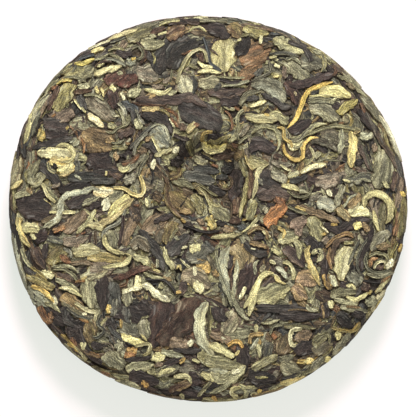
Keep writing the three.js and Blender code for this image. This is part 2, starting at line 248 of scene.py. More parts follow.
# The leaves of the top face, read off region by region.
# Each leaf: its tone, its width, then points along its middle, in millimetres from the cake's centre.
# A second tone after the hyphen is for its streaks, a word after the stroke is the shape it must have.
# Leaves along the top rim, about y 90 to 95, are given darker tones there: painted shade of the rim.
leafPlan = {
    "upper left": """
plum 2.5 -68,71.5 -62,77 -56,79.5; yellow-olive 2.4 -67,72.5 -62.5,72.5 -57,75
straw 2.2 -58.5,78 -56,79.5 -52,80.5; straw 1.3 -60,80 -53,83 -49,84.5; slate 2 -65,74.5 -60,76.5 -57,77
sage-olive/broad 9 -72,66.6 -66,69.4 -60,71; moss-sage/broad 7 -66,66 -61,67.6 -57,70.6
sage-moss 1.6 -79,60.5 -74,64 -67,65.5 -61,63; gold 2 -73,63.5 -70.5,64
olive-sage/broad 8.6 -70,62.6 -72.4,56 -75,47.4; rust 2 -78.5,59.5 -75,60.5
russet-plum 2.5 -75,61 -77,55 -80,48; plum 3.5 -79,57 -82,50; sage-grey 2.8 -80,57 -85,50 -88,42
slate-charcoal 4 -65,56 -61,48; straw 1.6 -67,54 -64,50 -61,47; wheat-pale 3.6 -57,66.5 -50,69 -43,71.3
straw 1.4 -55.5,70.5 -52,72.5; plum 1.5 -56,71 -52,73.5 -48,73; straw 1.8 -56.5,60.5 -54.5,57
straw 1.5 -53.5,60 -52,55; russet-brown 2.4 -67,57.5 -58,58.5; sage-light 3 -65,60 -59,61.5
ash-mauve 9 -60,55.5 -54,50 -47,43; sage-straw 1.6 -62,56 -56,56 -52,53.5
yellow-olive 1.6 -76,62 -72,64 -68,63.4
""",
    "top, left half": """
wheat-beige 2.5 -50,85 -42,88 -35,90.5; ash-sage 3 -40,88.5 -32,92 -25,93.5
moss-straw 2.2 -24.5,92.5 -20,94.3 -14,95; dark-russet 3 -20,93.3 -14,94.3 -10,93
dark-russet 2.4 -10,95.2 -3,95; ash-sage 2.4 -4,94.5 2,95 8,94.5
ash-olive/broad 6.6 -40.6,85 -34,88 -28,90; russet-plum 3 -29,88 -21,91; straw 1.8 -25,87.5 -20.5,88.5
dark-plum 2 -25,85.8 -21,87; sage-light 2.5 -29,86 -26,87; russet-tan/torn 7 -20.8,86 -17,88.4 -11,90.8
sage-moss/broad 6 -33.6,83.4 -28,82.4 -21.6,83; dark-slate/broad 10 -19,70 -15,78 -5,84
charcoal-slate/strap 9 -24,67 -23.6,75 -18,82 -9,86; rust 1.4 -13,77 -6,79.5
wheat-sage 2 -15.5,62 -13,70 -9,77 -4,80 -1,78 0,73; russet-plum 2.5 -3.5,78 -2.5,73
sage-olive 2 -9.5,71.5 -5,70.5; straw-bright 2 -5,73.5 -2,71 3,70.5; straw-white 2.2 -5,67.8 0,68.5 7,67.5
pale-slate/broad 8 -13,66.4 -11.4,61 -8,55; slate 2.5 -8,66 -6,61 -7.5,56
grey-mauve/broad 9 -35.6,67 -30,67 -24.6,64.6; brown-olive 1.4 -33,62.5 -27,62 -22,64.5
mauve 2.5 -22,62 -19,65.5; mauve 2.5 -28,60.2 -22,60.5; straw-white 2.6 -32,59 -27,58 -22,57 -18,60
sage-light 2.6 -20,56.5 -15.5,58.5; tan 3 -31.5,55 -25.5,56.5; plum 5.5 -36,54 -28,53.5 -15,54 -8,54.5 0,50
russet-rust 1.2 -38,52 -30,51 -20,50.5; red-russet/broad 7 -45,61 -40,64 -36,67
red-russet/broad 7 -51,62 -46,65 -42,68; sage-light 2 -45.5,67 -42.5,68
moss-sage 2 -50,77.5 -45,75.5 -41.5,71; ash-silver 2.2 -51,74.5 -46,74 -41,71
charcoal-plum 3.4 -46,78.5 -42,77 -38,78; sage 1.6 -50,79 -46,80.5 -42,79.5
ash-sage 1.6 -38,80 -35,81.5 -32.5,78 -33.5,75 -36,74.5; russet-plum 1.6 -36,84 -32,80 -31,76 -34,72
sage-blue 4.5 -41,73.5 -36,73; gold 1.5 -38.5,74.7 -36,75; rust 1.8 -33,74 -30.5,75
slate 3 -30,79 -28.5,73; olive-straw 1.1 -28,78 -26.5,75 -27,72; plum-russet 5.5 -48,59 -47,49
straw-bright 3 -49,60.5 -46,58.5; white-straw 2 -43.5,57.5 -41.5,53.5; sage-light 6 -37.5,54.5 -36,60
slate-blue 3.5 -44,52 -38,50 -35,47; silver-grey 2 -45,52 -42,49 -41,45
""",
    "top, right half": """
ash-moss 2.2 -2,94.8 5,95 10,94; plum-brown 3 17,92.5 25,91.5 34,90
charcoal-plum/broad 7 0,90.6 6,89.6 11,86; russet-olive/broad 7 10.6,92.6 14,90 16.4,85.6
slate 2 -2,86 0.5,78 1.5,72.5 7,68.5; wheat-straw/broad 12.6 7,85 8,77 9,68; mauve 1.2 1.5,80 5.5,76.5
dark-charcoal/broad 7 14,77.6 18,81 20.6,87.6; straw 1.5 15,84 17,85; olive-sage/broad 5 18,91 24,89 31,88
moss-olive 2 17,86.4 22,87.6 25,85; straw-white 1.8 27,87 26.5,82.5
brown-rust/broad 10.6 16,75 24,77.6 32,82; brown-dark 3 28,81 33,82.5
brown-rust/broad 6.6 16,66.6 22,68.6 27.6,71.6; slate 3 24,66 28,70
sage-straw/strap 7 33,85.4 41,82 49,78.4; slate-brown 2 33,90 40,87.5 47,82; olive-brown 1.8 32,79 35,78
slate-moss 2.2 31,77 38,78 46,76; straw 1.5 31,75.5 35,76; ash-slate/broad 11 47,75 53,74 59.6,71.6
moss-olive 2.6 50,81 57,78 59,72 57,68; sage-grey/broad 9 40,74.6 45,69.6 50,64; sage 2 39,74 43,75.3 47,72
mauve 2.4 39,71 38.5,64.5; straw-white 1.8 33.5,71.5 36.5,70.5; straw 1.6 33,65.5 36,66
plum-charcoal 5 41,61 50,62.5 58,65.5 64,67; ash-grey 1.6 31,74 31.5,68 26,65 22,63
sage-mauve/broad 7 -4.5,62 2,62.5 8,61; sage 1.3 5,65.5 12,65 19,65; plum 2.2 6,64 12,62.5 18,63
sage-silver 2 8,61 14,61.5 21,63.5; slate-dark 3 3,59 7,61.5; plum 5 0,58 10,57 19,59
plum-slate 14 -15,50 -3,46 8,42; moss-grey 3 16,51 20,56.5 27,58; charcoal-slate 3 18,54 26,55
straw-white 2.4 21.5,50 25,51.5 29.5,53; ash-silver 8 22,61.5 30,62 36,57 38,52
plum-slate 3.6 27,57 33,54 38,50 42,50; plum 5 39,63 43,57 45,51; straw-pink 1.5 43.5,58 45,56
""",
    "upper right": """
sage 2.5 53,79.5 59,77 62,74; ash-sage 1.4 57.5,78 59.5,73 58,68; dark-plum 3 60,71 63,69 66,68.5
russet-rust 1.6 63.5,71.5 64.5,68 63,66; moss-sage 3 65,66 71,64 76,59 80,55; brown-moss 2.5 70,62.5 74,59
gold-yellow 2.7 63,63 57,61 50,57 47,50 45,45 40,39; straw-yellow/broad 5.6 56,57 64,58.6 72,55
wheat-straw 1.4 51,55.5 60,56 68,54.5; slate-dark 2.2 52,56.5 56,58.5
moss-olive/broad 5 57,79.6 61,76.6 65,73; charcoal 3 62,72.4 66,69.6 70,66.4
ash-sage 3.2 68,69 73,64 77,59.4; olive-yellow/broad 4.6 66,46 70,50.4 75.4,54
sage-grey/broad 10 51,49 58,49.6 66,44; sage-slate 4 51,53.4 58,54 64.6,52
moss-sage 1.6 50.5,52 55,54.5 62,53.5; charcoal-plum 4.5 62,51 67,50; sage-light 1.8 61,51.5 65,54.5
ash-sage 5 78,57 83,50 88,42; russet-rust 2 77,52 79,47; dark-plum 3.5 76,49 80,42 83,38
""",
    "left, above the middle": """
straw-sage 3 -84,52 -88,45 -90,38 -92,31; slate-sage 2.5 -84,48 -86.5,42 -88,35
olive-gold/torn 5 -85,33.4 -81.6,37.6; plum-slate/broad 8 -82,40 -76,41 -69,40
mauve-plum/broad 8.6 -77.6,42.6 -73,46 -68,49; slate 1.5 -73,41 -69,44; olive-gold 1.5 -71,38.5 -69.5,40
rust-gold 1.2 -78,44.5 -76.5,46.5; charcoal-slate 4 -88,29 -80,31 -72,33 -66,34
straw-pale 6.5 -85.5,26.5 -79,27 -73,26.5 -68.5,25
wheat-straw 2.6 -76,29.5 -71,30.5 -67.5,27.5 -68,23 -74,21.5; ash-straw 2 -80,21.5 -79,18 -76,16
wheat-straw 3.2 -75.5,17.5 -71,18.5 -67,21; wheat-tan 2.4 -74,14.5 -70,16 -66.5,18
dark 2.2 -77.5,20.5 -75.5,19; moss-silver 4.5 -68,30.5 -65,33.5; rust 1.6 -63.5,34.5 -62,31 -62,26
slate 1.6 -61.5,31 -61,27; brown-tan/broad 13.6 -62,38 -56,33.4 -47,28.6
white-gold 3.5 -60,46.5 -56,43 -52,39.5; plum-dark 11 -60,24 -54,22 -48,20
slate-dark 5 -70,13 -60,14 -50,13; charcoal-dark 5 -74,6 -66,9 -58,10
charcoal-slate 5.5 -84,20 -78,15 -74,9; moss-sage 3.6 -84,23 -87,18 -88.5,12 -86,9.5
straw-sage 2 -88,9 -83,10.5 -80,5 -76,1; sage-brown 5.5 -95,24 -95.5,17 -97,10
straw 2.4 -98,8 -95,10.5 -92.5,12.5; sage-light 3 -96.5,3.5 -92,5.5 -88.5,5
charcoal-plum/broad 14 -95,-3 -87,-1.5 -78,-1; silver-sage 3.4 -75,-2.5 -73,2 -70,5 -62,6.4 -58,8.4 -54,7.4
white-gold 6 -57,7 -52,6.5 -47,7; straw 2.2 -47,8.5 -42,8 -38,5.5 -33,4.5 -32,9 -34,15
grey-sage 5 -42,12 -36,14; plum 4 -60,15 -50,16 -45,17; slate-dark 3.5 -58,12 -46,12
straw 1.2 -51,14.5 -50.5,17; silver-sage 1.5 -66.5,15 -63,12.5
straw-gold/broad 5.5 -79,22.6 -73,21.6 -66.8,23; straw 3.2 -74.6,17 -70,16.4 -66.6,20
moss-sage/torn 5 -89,10 -85,12 -82.6,16; mauve 2 -78,9 -73.6,10; sage-grey 3 -63,0 -58,2 -54,4
sage-moss 2.4 -75,1.6 -78,5 -83,11; plum-slate/broad 6 -70,-1 -64,2 -59,5
sage-ash/broad 5.4 -49,1.6 -46,4 -42,7; straw-yellow/broad 4.8 -38.6,3.4 -44,0.6 -49.4,-6.4
charcoal/broad 6.4 -39,-1 -36,-4 -33,-8; rust 1.2 -37,-0.5 -34,-0.6; straw 1.6 -31,3.4 -30.4,1 -30,-1.6
charcoal-plum/broad 6 -82,36.4 -76,36 -70,36.6; charcoal-plum/broad 5 -88,3 -84,4.4 -80,6
""",
    "left of the dimple": """
sage-grey 2.4 -44,49 -42,45 -42,40; slate 2.5 -40,50 -37,46 -37.5,41; pale 1 -47.5,45.3 -44.5,45.3
moss-sage 1.6 -51,37.5 -48,36.5 -45,39 -40,41.5 -39,45; sage 3 -50,40 -46,40.5
plum-brown 5 -45,36 -40,37 -38,39; tan-brown 3.5 -50,34 -47.5,31; tan-straw 3 -33,48.5 -27,49 -24,49.5
olive-tan 1.4 -24.5,48.5 -21,47.5 -19,45; charcoal 6 -33,45.5 -26,45 -21,42 -18,36
straw-white 1.1 -19,44 -16.5,39.5; rust 1.6 -18.5,44.5 -15,39.5; grey-silver 1.6 -36,48.5 -34,44 -31.5,41
sage-light 4 -35.5,44 -34,38.5; slate-grey 2.2 -39,28.5 -34,34 -29,39 -25,41
grey-silver 2 -37,25 -35.5,31 -30,37; silver-slate/broad 8.5 -28.5,39.5 -24,35.5 -18.5,30.5
silver-sage 1.4 -29.5,39 -25,41 -21,39 -18.5,31; straw 1.8 -28,35 -25.5,30 -23,26
wheat-sage 2.6 -26.5,24.5 -22,26.5 -17,28.5; white-straw 4 -17,28.5 -14.5,26.5; tan-pink 2 -31,32.5 -28,35
slate-plum 3.5 -33,30.5 -28,30 -25,25 -24,20; brown 4 -34,26 -31,29; rust-dark 3 -43,21 -38,22 -34,25.5
grey-sage 3.4 -41,17 -36,21 -31,26; straw-sage 3 -44.5,19 -42,17.6 -39,19.5
ash-sage 2 -35,14 -33,20 -29.5,25; white-straw 2.6 -28,18 -26,23; sage 1.4 -48.5,31.5 -44,31.5 -42,33
tan-rust 1.5 -41,31 -39,31.5; tan-pink 3 -47,26 -44.5,23; olive-slate 2.5 -48,29 -40,29
plum 5 -49,18 -43,14; wheat-tan 3.4 -10.5,37 -8,39.5 -6,42; rust-pink 2.2 -7,40.5 -4,41
russet-mauve 3.5 -14,41 -11,38; plum-brown 1.8 -17,35.5 -13,34 -9,33
""",
    "in and round the dimple": """
gold-olive 2 2.5,37 -1,36.8 -2.5,34.5 -2.7,31.5; yellow-white 3.8 -2.7,31.5 -1,28.8 2,27.6 6,27.8 9.5,30.5
dark 4.5 0,34.2 5,34 9,33.5; olive-brown 2.6 0,31.5 4,31.6 8,33.5 13,36; russet-rust 1.4 12,31 14.5,28.5
olive-brown 1 -3,26.5 0,25 2,23.6 5,22.5; dark 1.4 -3,25.2 1,23.4 4,21.8
olive-dark 4 -9,33 -8.5,28 -7,24.5; grey-olive 3.6 -7,24.5 -3,22 0,20.8; russet-dark 5 3,24.8 8,25 13,24
dark 5 8,22 13,21.5; tan-gold 1 9,22.2 12,21.8; rust-plum 1.6 2,20.4 5.5,19.6
slate-grey/broad 6 -12,14 -5,14 4,12.2; slate-charcoal/broad 4.5 -7,18.4 -1,18 6,16.6
dark-slate 4 7,18 13,18.5; slate-dark 3 4.5,14.6 10,13.4
russet-olive 1.5 5,10.6 7,8.4 10,7.8 12,10 12,12.6 10.5,14.6; olive-brown 2.2 7.4,8.9 10.2,9.6
dark 5 1,9.2 5,7 8.5,4.6; plum-dark 6 13.4,18 14,12 13.2,6 12,1; plum 3 16.8,15 16,8
russet-olive/torn 4 -19,13.4 -14.6,15.2 -13.2,18.5; moss-sage/broad 3.8 -18,12.2 -12,11 -6.5,8.4
olive-brown 2.6 -7.6,10.6 -5,8.5 -3,6 -1.4,4.4; moss-olive 1.4 -5,10.6 -1,8 2,5.6 5,4.4
wheat-olive 1.6 -4.5,8.5 -1,5.4 0.2,2 2.5,0 6.5,-1; brown-olive/broad 9.5 -19,6.5 -13,1 -8,-4.5
olive-grey/broad 5 -8,4.6 -4.5,0 -3,-4.5; dark 0.8 -10,4.5 -12,1 -13.6,-1.2; brown-tan 5 -13,-2 -8.5,-4.6
russet-olive 3 -20,12 -20.6,6 -19,0 -16,-4 -12.6,-7.4; russet-brown 2 -21,14 -19.6,10
brown-dark 5 -27,5 -22.6,3; moss-sage/broad 7.5 2,0 6,-4 10.8,-8.4; straw-olive 1.5 0,2.6 1.6,-1 1.6,-4.4
olive-gold/torn 4.4 0.3,-5.6 1.8,-9 3.4,-12.6; sage-wheat 1.4 -7,-10.8 -4,-12.4 -1.6,-14
gold-brown 1.8 -12.5,-7.2 -11.3,-9.6; brown-mauve 3 -4.2,-6.8 -2.6,-10.6
dark 1.6 -12,-10.4 -5,-13 0,-14.2 6,-13.6; dark 2.6 4,-9 9.4,-10
olive-wheat 2.4 19.8,14.5 19.2,8 18,2 16.8,-3 16,-7; moss-olive 3 16.4,22.4 18,18 19.8,13.6
wheat-white 2.6 30.8,20.8 27.5,19 25.3,16 24.5,11 23.8,7 22.2,2.4
wheat-gold 1.2 19,25 20,21.5 21.4,19.2 23,17.4; wheat-olive/broad 6 20.2,23 24,21.4 29.6,20.4
moss-wheat 1.6 22,25 26,23 30.4,20.6; russet-brown 3 21,19 21.9,13 21.2,7 20.6,2.6
dark-charcoal 6 26.4,12.4 31.4,9; grey 2.2 26.2,13.4 27,9.6; sage-olive/broad 5.4 24,2 22,-3 19.6,-8
russet-dark 4.6 11.4,-7 16.6,-9.2; russet-brown 3.6 14,3.6 14.6,-1.6 14,-5; wheat-sage 1.6 24.6,-8 22,-11.4
white 1.2 21.8,-11.6 25.4,-10.4; mauve-tan 3 8,-12 11.4,-13.6; slate 3 15,-12.2 19,-11
straw-sage 1.2 17,-14.6 21,-11.5 25.2,-6; dark 8 -14,31.4 -11,27 -10,23.6; dark 6 -17,23 -12,20.6
charcoal 3 -18.4,22 -13.6,19.6; plum-ash 2 -17,35.4 -12.6,33.6 -9,32.8
wheat-moss 2.6 1.6,-17.2 7,-16.4 12,-16 16.8,-15.2
""",
    "right of the dimple": """
rust-mauve 1.3 9,48 11.5,45 12.5,40 11,37.5; sage-light 2 18,48.5 15.5,46 14.5,41
moss-wheat 2 15.5,33 14.5,37 16,42; slate-sage 2.5 8,33.5 12,36 15,38; sage-straw 2.5 11,31.5 14,35 16,40
grey-brown 3.5 16.5,34.5 19,39 21,41; sage-moss 1.6 15.5,31 18,33.5 20,35
wheat-sage 4.5 19,45 25,44 35,43.5; gold 1.5 28.5,46 31,45.5
sage-straw 2.4 22,36 26,39.5 31,40 35,37 36,31 34.5,27; plum 8 21,31 27,31 33,27
gold 1.8 35,39.5 38,38.5 38.5,34 41.5,31.5 42.5,29
gold-straw 2.4 38.3,31 38.5,27 42,23.5 46,23 48,25 48,30 52,34 56,34; sage 2 41,32.5 46,33 49,37 54,40
sage 1.4 43,29 46,29.5 49,33; charcoal 6.5 41,37 47,40 52,43.5; russet-plum 3 33,25 38,23.5
russet-rust 1.6 37,23 40,21.5; grey-mauve 3 32,22 38,20 42,20; straw-white 1.3 36.5,20.5 39.5,18 42,17
grey-sage 5 31.5,15.5 37,14 40,12; straw 3 46.6,16 52,19 59.4,20.6; wheat-silver 3 40,14.5 46,16
plum 7 30,18 28,12 35,9; plum 8 25,4 33,7 41,4; rust 3.5 33.5,3 36,1.5 39,2
wheat-straw 3 37,9.5 43,8.5 46,7; moss-sage 1.4 40,7 44,4 50,4.5 53,10; slate-dark 3.5 41,12 47,13 50,15
charcoal-plum/broad 6.2 6.4,52.6 12,53.4 17.6,52.6; sage-straw/broad 4.4 31,46 36,45 40,41
""",
    "right, above the middle": """
sage 2 46,34 52,36.5 60,39.5 67,40 75,38; sage-brown 4.5 68,45 71,43; rust-tan 1.2 65.5,41 68.5,42
ash-mauve/broad 8 57,34.6 62,35.4 67,33; ash-plum 4 52,31 55,33 62,30 65,27; sage-light 3 53.5,25 57,26
sage-silver 3 67,38.5 67.5,32 66,26; straw-gold 4.8 71.6,37.6 73,31 72,25 72,18.6
tan-straw 1.5 73,36 76.5,37.5; sage-silver/torn 4 76.4,35 83,35; charcoal-slate 2 77,33.5 81,33
plum 3 76,30 79,24 82,18; ash-slate 1.4 78,30 80,24 82.5,17; mauve-brown 3 83,31 84.5,27
slate-brown 2.4 79,47 84,38 88,30; charcoal 3 84,39 88,31 92,25 95,18
white-sage 2.4 86,46 91,38 94,30 97,22; sage-grey/broad 11 89.4,28 88,18 85,8
slate-sage 5 73,12 78,14 83,12; dark-charcoal 4 74,22 78,21; russet-grey 3 74,18 80,17
plum 3.5 94.5,17 94,12 92.5,7; sage-straw 2.4 88.5,12 90,8; mauve-grey 7 54,12 60,12 66,13
straw-white 1.3 67.5,12.7 71.5,11.5; sage-grey 3.5 68,10 66,4 64,-1; charcoal 4 62,8 64,4
white-straw 2.5 60,7.5 62,4; silver-grey 7.5 55,2 60,0 63,-3; tan-brown 4.5 70,-1 73,1.5 77,4.5
silver-sage 1.4 68,-2 71,3 75,5.5; wheat-straw 4 78.6,-2 79,3 83,5.5 88,4 91.4,0 91,-7 89,-10
wheat-straw 2.4 83,-3 84,-9 86,-14; olive-moss/broad 6.6 96.8,6 96.4,-5 95.6,-17; gold 2 97,7 98,4
sage-straw 2.6 41.6,34 48,35 54,40.6 60,41; straw-white/broad 5 40,31 44,30 47.4,33.4
grey-sage 2.4 36,27 37,23 42,20.6
""",
    "left, below the middle": """
straw-gold 2.8 -92.5,-8.5 -94,-6.5 -94.3,-11 -92.5,-16.5 -88.5,-22
straw-sage/broad 5.4 -93,-12.6 -88,-12 -83.6,-12; straw-sage 2 -88,-15 -86,-18
dark-charcoal 2.5 -98.5,-9 -96,-14 -94,-22 -92,-31; silver-sage 3 -97,-14 -95.5,-25 -93,-35 -90,-43
sage-light 2 -93,-22 -91,-28 -88,-32; brown-sage 2.4 -83,-9 -78,-7 -75,-5
sage-grey 3 -81,-11 -76,-9 -73,-4; straw 1.5 -79,-4.2 -75,-4; straw-white 1.8 -72.5,-4.2 -66,-4
rust-tan 3 -77,-14 -74,-12.5 -71,-11.5; mauve-brown/broad 7 -72,-14 -66,-9 -61.5,-3
sage-straw 3 -65.5,-15 -61,-10.5 -57.5,-6 -56,-2.5; slate-sage 3.5 -80,-17 -76,-18 -72,-20
rust 1.3 -66,-16.5 -61,-14; plum 5 -86,-22 -84,-28 -81,-33; charcoal 3 -81,-20 -81,-28
olive-brown/broad 8 -80,-30 -76,-26 -71,-22; rust-dark 3.5 -73,-25.5 -69,-30.5
grey-silver 2 -72,-22.5 -69,-24 -68,-27.5; wheat-sage/broad 7 -67,-25 -61,-23.6 -53.6,-23
mauve 2 -66,-22 -64,-20; olive-tan/broad 5 -60,-27 -52,-27 -42,-29
brown-grey 2.4 -68,-30.5 -62,-29.5 -57,-31; sage-moss 2 -77,-33 -72,-33 -67,-36 -65,-39
sage-light 1.8 -78,-32 -70,-31.5 -65,-34; plum-brown 3.5 -75,-36 -70,-37 -67,-39
straw-sage 2.6 -83,-34.5 -79,-36 -76.5,-37; olive-gold 1.8 -88,-32 -84,-35 -80,-38.5
gold 2.4 -88,-41.5 -82,-44 -76,-50; olive-tan 2.5 -88,-37 -82,-39.5 -76,-42.5
white-straw 3 -77.5,-47.5 -74.5,-50.5; sage-slate 3.5 -86,-45 -80,-47 -77,-50
wheat-white 2.4 -73,-42 -69,-43 -65,-46; sage-wheat 1.6 -70,-41 -65,-43; rust-gold 1.4 -66,-39.5 -61,-38.8
straw 1.5 -63,-38 -60,-37; sage-light/broad 10 -55.6,-32 -58,-41 -57.6,-53
sage-brown 4 -60,-37 -54,-36 -50,-33; tan-brown/broad 6.8 -72.4,-46 -67,-50.6 -60.4,-56.6
wheat-straw 2.4 -51.5,-15 -51,-20 -47,-24 -41,-25.5
straw 2.6 -41,-25 -38.5,-26.5 -41,-30 -48,-31.5 -53,-32
grey-silver 1.8 -41,-2.5 -42.5,-7 -46,-10.5 -51,-13 -52.5,-17
wheat-tan 4 -37,3 -42,-1.5 -47,-6 -53,-10 -58,-11.5; sage-grey/broad 7 -49,-13 -47,-17.5 -48,-22
pale-silver 4.5 -51.5,3 -50,-3; charcoal 4 -59,-1 -53,0; silver-sage 3.6 -82,-12 -76,-8 -73.5,-3 -72,2
wheat-sage/torn 4 -60,-10 -52,-12; plum-dark/broad 6 -80,-14.6 -87,-18
silver-sage/broad 6 -91,-42 -86,-47 -78,-52; olive-tan/broad 5.4 -90,-35 -84,-38.6 -77,-43.6
charcoal-slate/torn 4 -91,-31 -86,-36; straw-white/torn 4 -83,-34.6 -77,-37
sage-moss 3 -76,-38.4 -70,-40.4 -64,-45; straw-sage 2 -74,-42.6 -68,-43.4 -62,-47.4
mauve-ash/broad 8 -58,-30.6 -52,-32 -45,-31; grey-mauve/broad 7 -58,-38 -54,-35 -50,-32
charcoal-plum/broad 7 -51,-36 -52.6,-44 -52,-54; moss-brown 3.5 -73,-50 -68,-53.4 -62,-57 -57,-60
mauve-grey/broad 6 -72,-18 -66,-19 -60,-17
""",
    "below the dimple, left": """
slate-charcoal/strap 5 -34,-13 -29,-19 -24.4,-26 -22,-34; plum 2 -42,-5 -42.5,-12 -44,-21
brown-mauve 6 -42,-21 -40,-13 -35,-6; grey-brown 6 -38,-22 -34,-19 -29,-24
brown-mauve/broad 8 -32,-14 -26,-10 -20,-5; charcoal 2.8 -27,-9 -22,-7 -17,-5.5
ash-mauve/broad 7 -27,-10 -24,-15.6 -24.4,-20; brown-olive/broad 6.4 -17,-8.6 -19,-14 -20,-20.6
moss-wheat 1.4 -14.5,-12 -17,-15 -19,-19; slate-plum/broad 7.6 -20.6,-25 -15,-20.6 -9,-15.6
sage-silver 1.8 -16.5,-16 -14.5,-18.5; pale 1.2 -13,-22.5 -10,-21.5; straw-white/torn 5 -9,-22.6 -3.4,-22
sage-wheat 1 -24,-21.5 -22,-24; sage-straw 3.2 -22.6,-22 -20,-28 -16.6,-33
sage-white 1.5 -25,-28 -25,-32.5; straw 1.8 -27,-33.5 -23.5,-34.5; sage-straw 4.2 -37,-27 -32,-28 -29,-31
russet-red 3.5 -47,-38 -40,-36 -34,-33 -28,-32.5; sage-straw 1.8 -32,-35 -27,-37 -21,-38
brown 1 -30,-33.5 -22,-36; straw-white 3.4 -34,-36.5 -35,-40 -33,-43
white-straw 2.4 -33,-43 -38,-43 -42.5,-45.5; white-straw 4 -33.5,-41.5 -29,-42 -25,-46 -18.5,-49.5
slate-grey/broad 7 -46,-39.6 -47,-47 -46,-57; sage-grey/broad 5.5 -40,-43 -40,-52
charcoal 9 -46,-52 -38,-56 -30,-60; charcoal 7 -34,-50 -28,-55
russet-charcoal/broad 17 -6,-47 -12,-58 -22,-72; plum-russet/broad 12 -22,-49 -24,-60 -27,-73
silver-straw/strap 6.4 0,-49.6 -3.4,-56 -3.8,-64 -1.6,-71 3,-77; olive-dark 2 1,-52 1,-60 1,-67
charcoal-plum 8 5,-52 6,-60; beige-mauve/broad 8.4 -13,-35.8 -6,-37 1,-42.6
tan-gold/torn 6.4 -5.8,-30.6 1.8,-32; white 2 -6.6,-31.6 -6,-36.4
straw-white/torn 4.6 -6.6,-39.6 -2.2,-44.6; plum 7 -14,-41 -10,-43; gold-tan 1.8 -16,-45 -13,-44.5
straw 1.2 -15.5,-33 -14,-31 -13,-34; sage-straw 3 -24,-40.5 -22,-42.5
charcoal 1.6 -31,-38 -22,-38.5 -17,-43 -16,-46; grey-slate/broad 7.6 -10.6,-27.6 -4,-26 0.6,-20
brown-gold/torn 3 3,-33.6 5.2,-37; slate-grey/torn 4 -2,-19.6 3,-24; ash-brown 3 0,-26 3,-31 5,-38
""",
    "below the dimple, right": """
brown 3.5 8,-12 13,-13; moss-wheat 1.6 20,-14 24,-9 26,-5; wheat-tan 1 22,-14 24,-12.6
orange-rust/broad 7.5 28,-9.5 34,-5 40,-1; beige-silver 4 28,-4 30,-2
tan-brown 2 20,-15 25,-12 29,-14 30,-18; straw 1.6 27.5,-13.5 31.5,-17; plum 3.5 23,-16.5 28,-17
brown-tan 2.5 21,-19.5 26,-20.5 30,-22; charcoal 3.5 18,-20 24,-25 30,-25; white 1 21.5,-22.5 24,-23
tan-beige/broad 12 14.6,-20 17.6,-27 16.6,-36; silver-sage/strap 5.4 11,-21.4 8,-27 7.6,-34 10,-42 13,-50
sage-silver 1.6 4,-24 5.5,-32 9,-42 12,-52; plum 3 11.5,-26 11,-33; plum 2 12,-36 12,-44
silver-straw 2.4 14.4,-28 14.6,-34 13,-40 13.4,-48; plum-russet/broad 9 23.4,-29 20.4,-37 15.6,-46
straw-bright 3.2 33,-35 29.5,-35 26.5,-37.5 23,-45 18,-53; straw 2.2 19,-42 16,-48.5
sage-silver 2 24,-36 23.5,-31 25.5,-28.5; beige-sage 3 26,-34 29,-31.5
straw-sage 2.2 37.5,-29.5 41,-30.5 43,-35 42.5,-38.5; silver-sage 2.6 34,-32 37,-34 40,-38
straw 1.8 33.5,-36 35,-39 39,-40.5; rust-dark 3 38,-33 40,-33; straw 1.8 31,-28.5 34,-30.5
gold-straw 2 35,-11.5 38,-14 37.5,-17.5; sage-straw/broad 6 35,-17.4 41,-17 45.6,-15.6
sage-straw 3 43,-18 45.6,-22 46,-28; sage-straw 3.5 32,-22 35,-24 36,-26; brown-plum 4 36,-15 34,-17
plum 6 38,-22 42,-25 48,-32; mauve-pink/broad 6 41.4,-9 46,-9.6 50,-7.4
mauve-pink/broad 4.4 44.6,-11 46.8,-16; brown 4 44,-1 52,-3.5 60,-6.5 66,-9.5
gold-bright 1.8 44,-1.2 49,-3.2; gold 1.4 61.5,-10.2 65,-10.5; moss-sage 1.6 40,-1 45,-3.5 50,-5
sage-straw/broad 10 24,-48.4 32,-45.4 41,-42; tan-pink/broad 9 44.4,-36.4 50,-38 54,-41
tan-pink/broad 6.6 42.4,-41.6 46,-45 49.8,-48; straw-gold 3.4 51,-21 49.5,-25 51.5,-31 54,-37 56,-41.4
sage-straw 3 52,-25.5 55,-23.5 57,-26 54.5,-29.5; straw-sage/broad 2.8 24.8,-45.6 22.2,-51 20.6,-57
sage-slate 3 11,-44 14,-51 18,-57 21,-59; charcoal-slate/broad 5 49,-17 53,-20.6 56,-25
""",
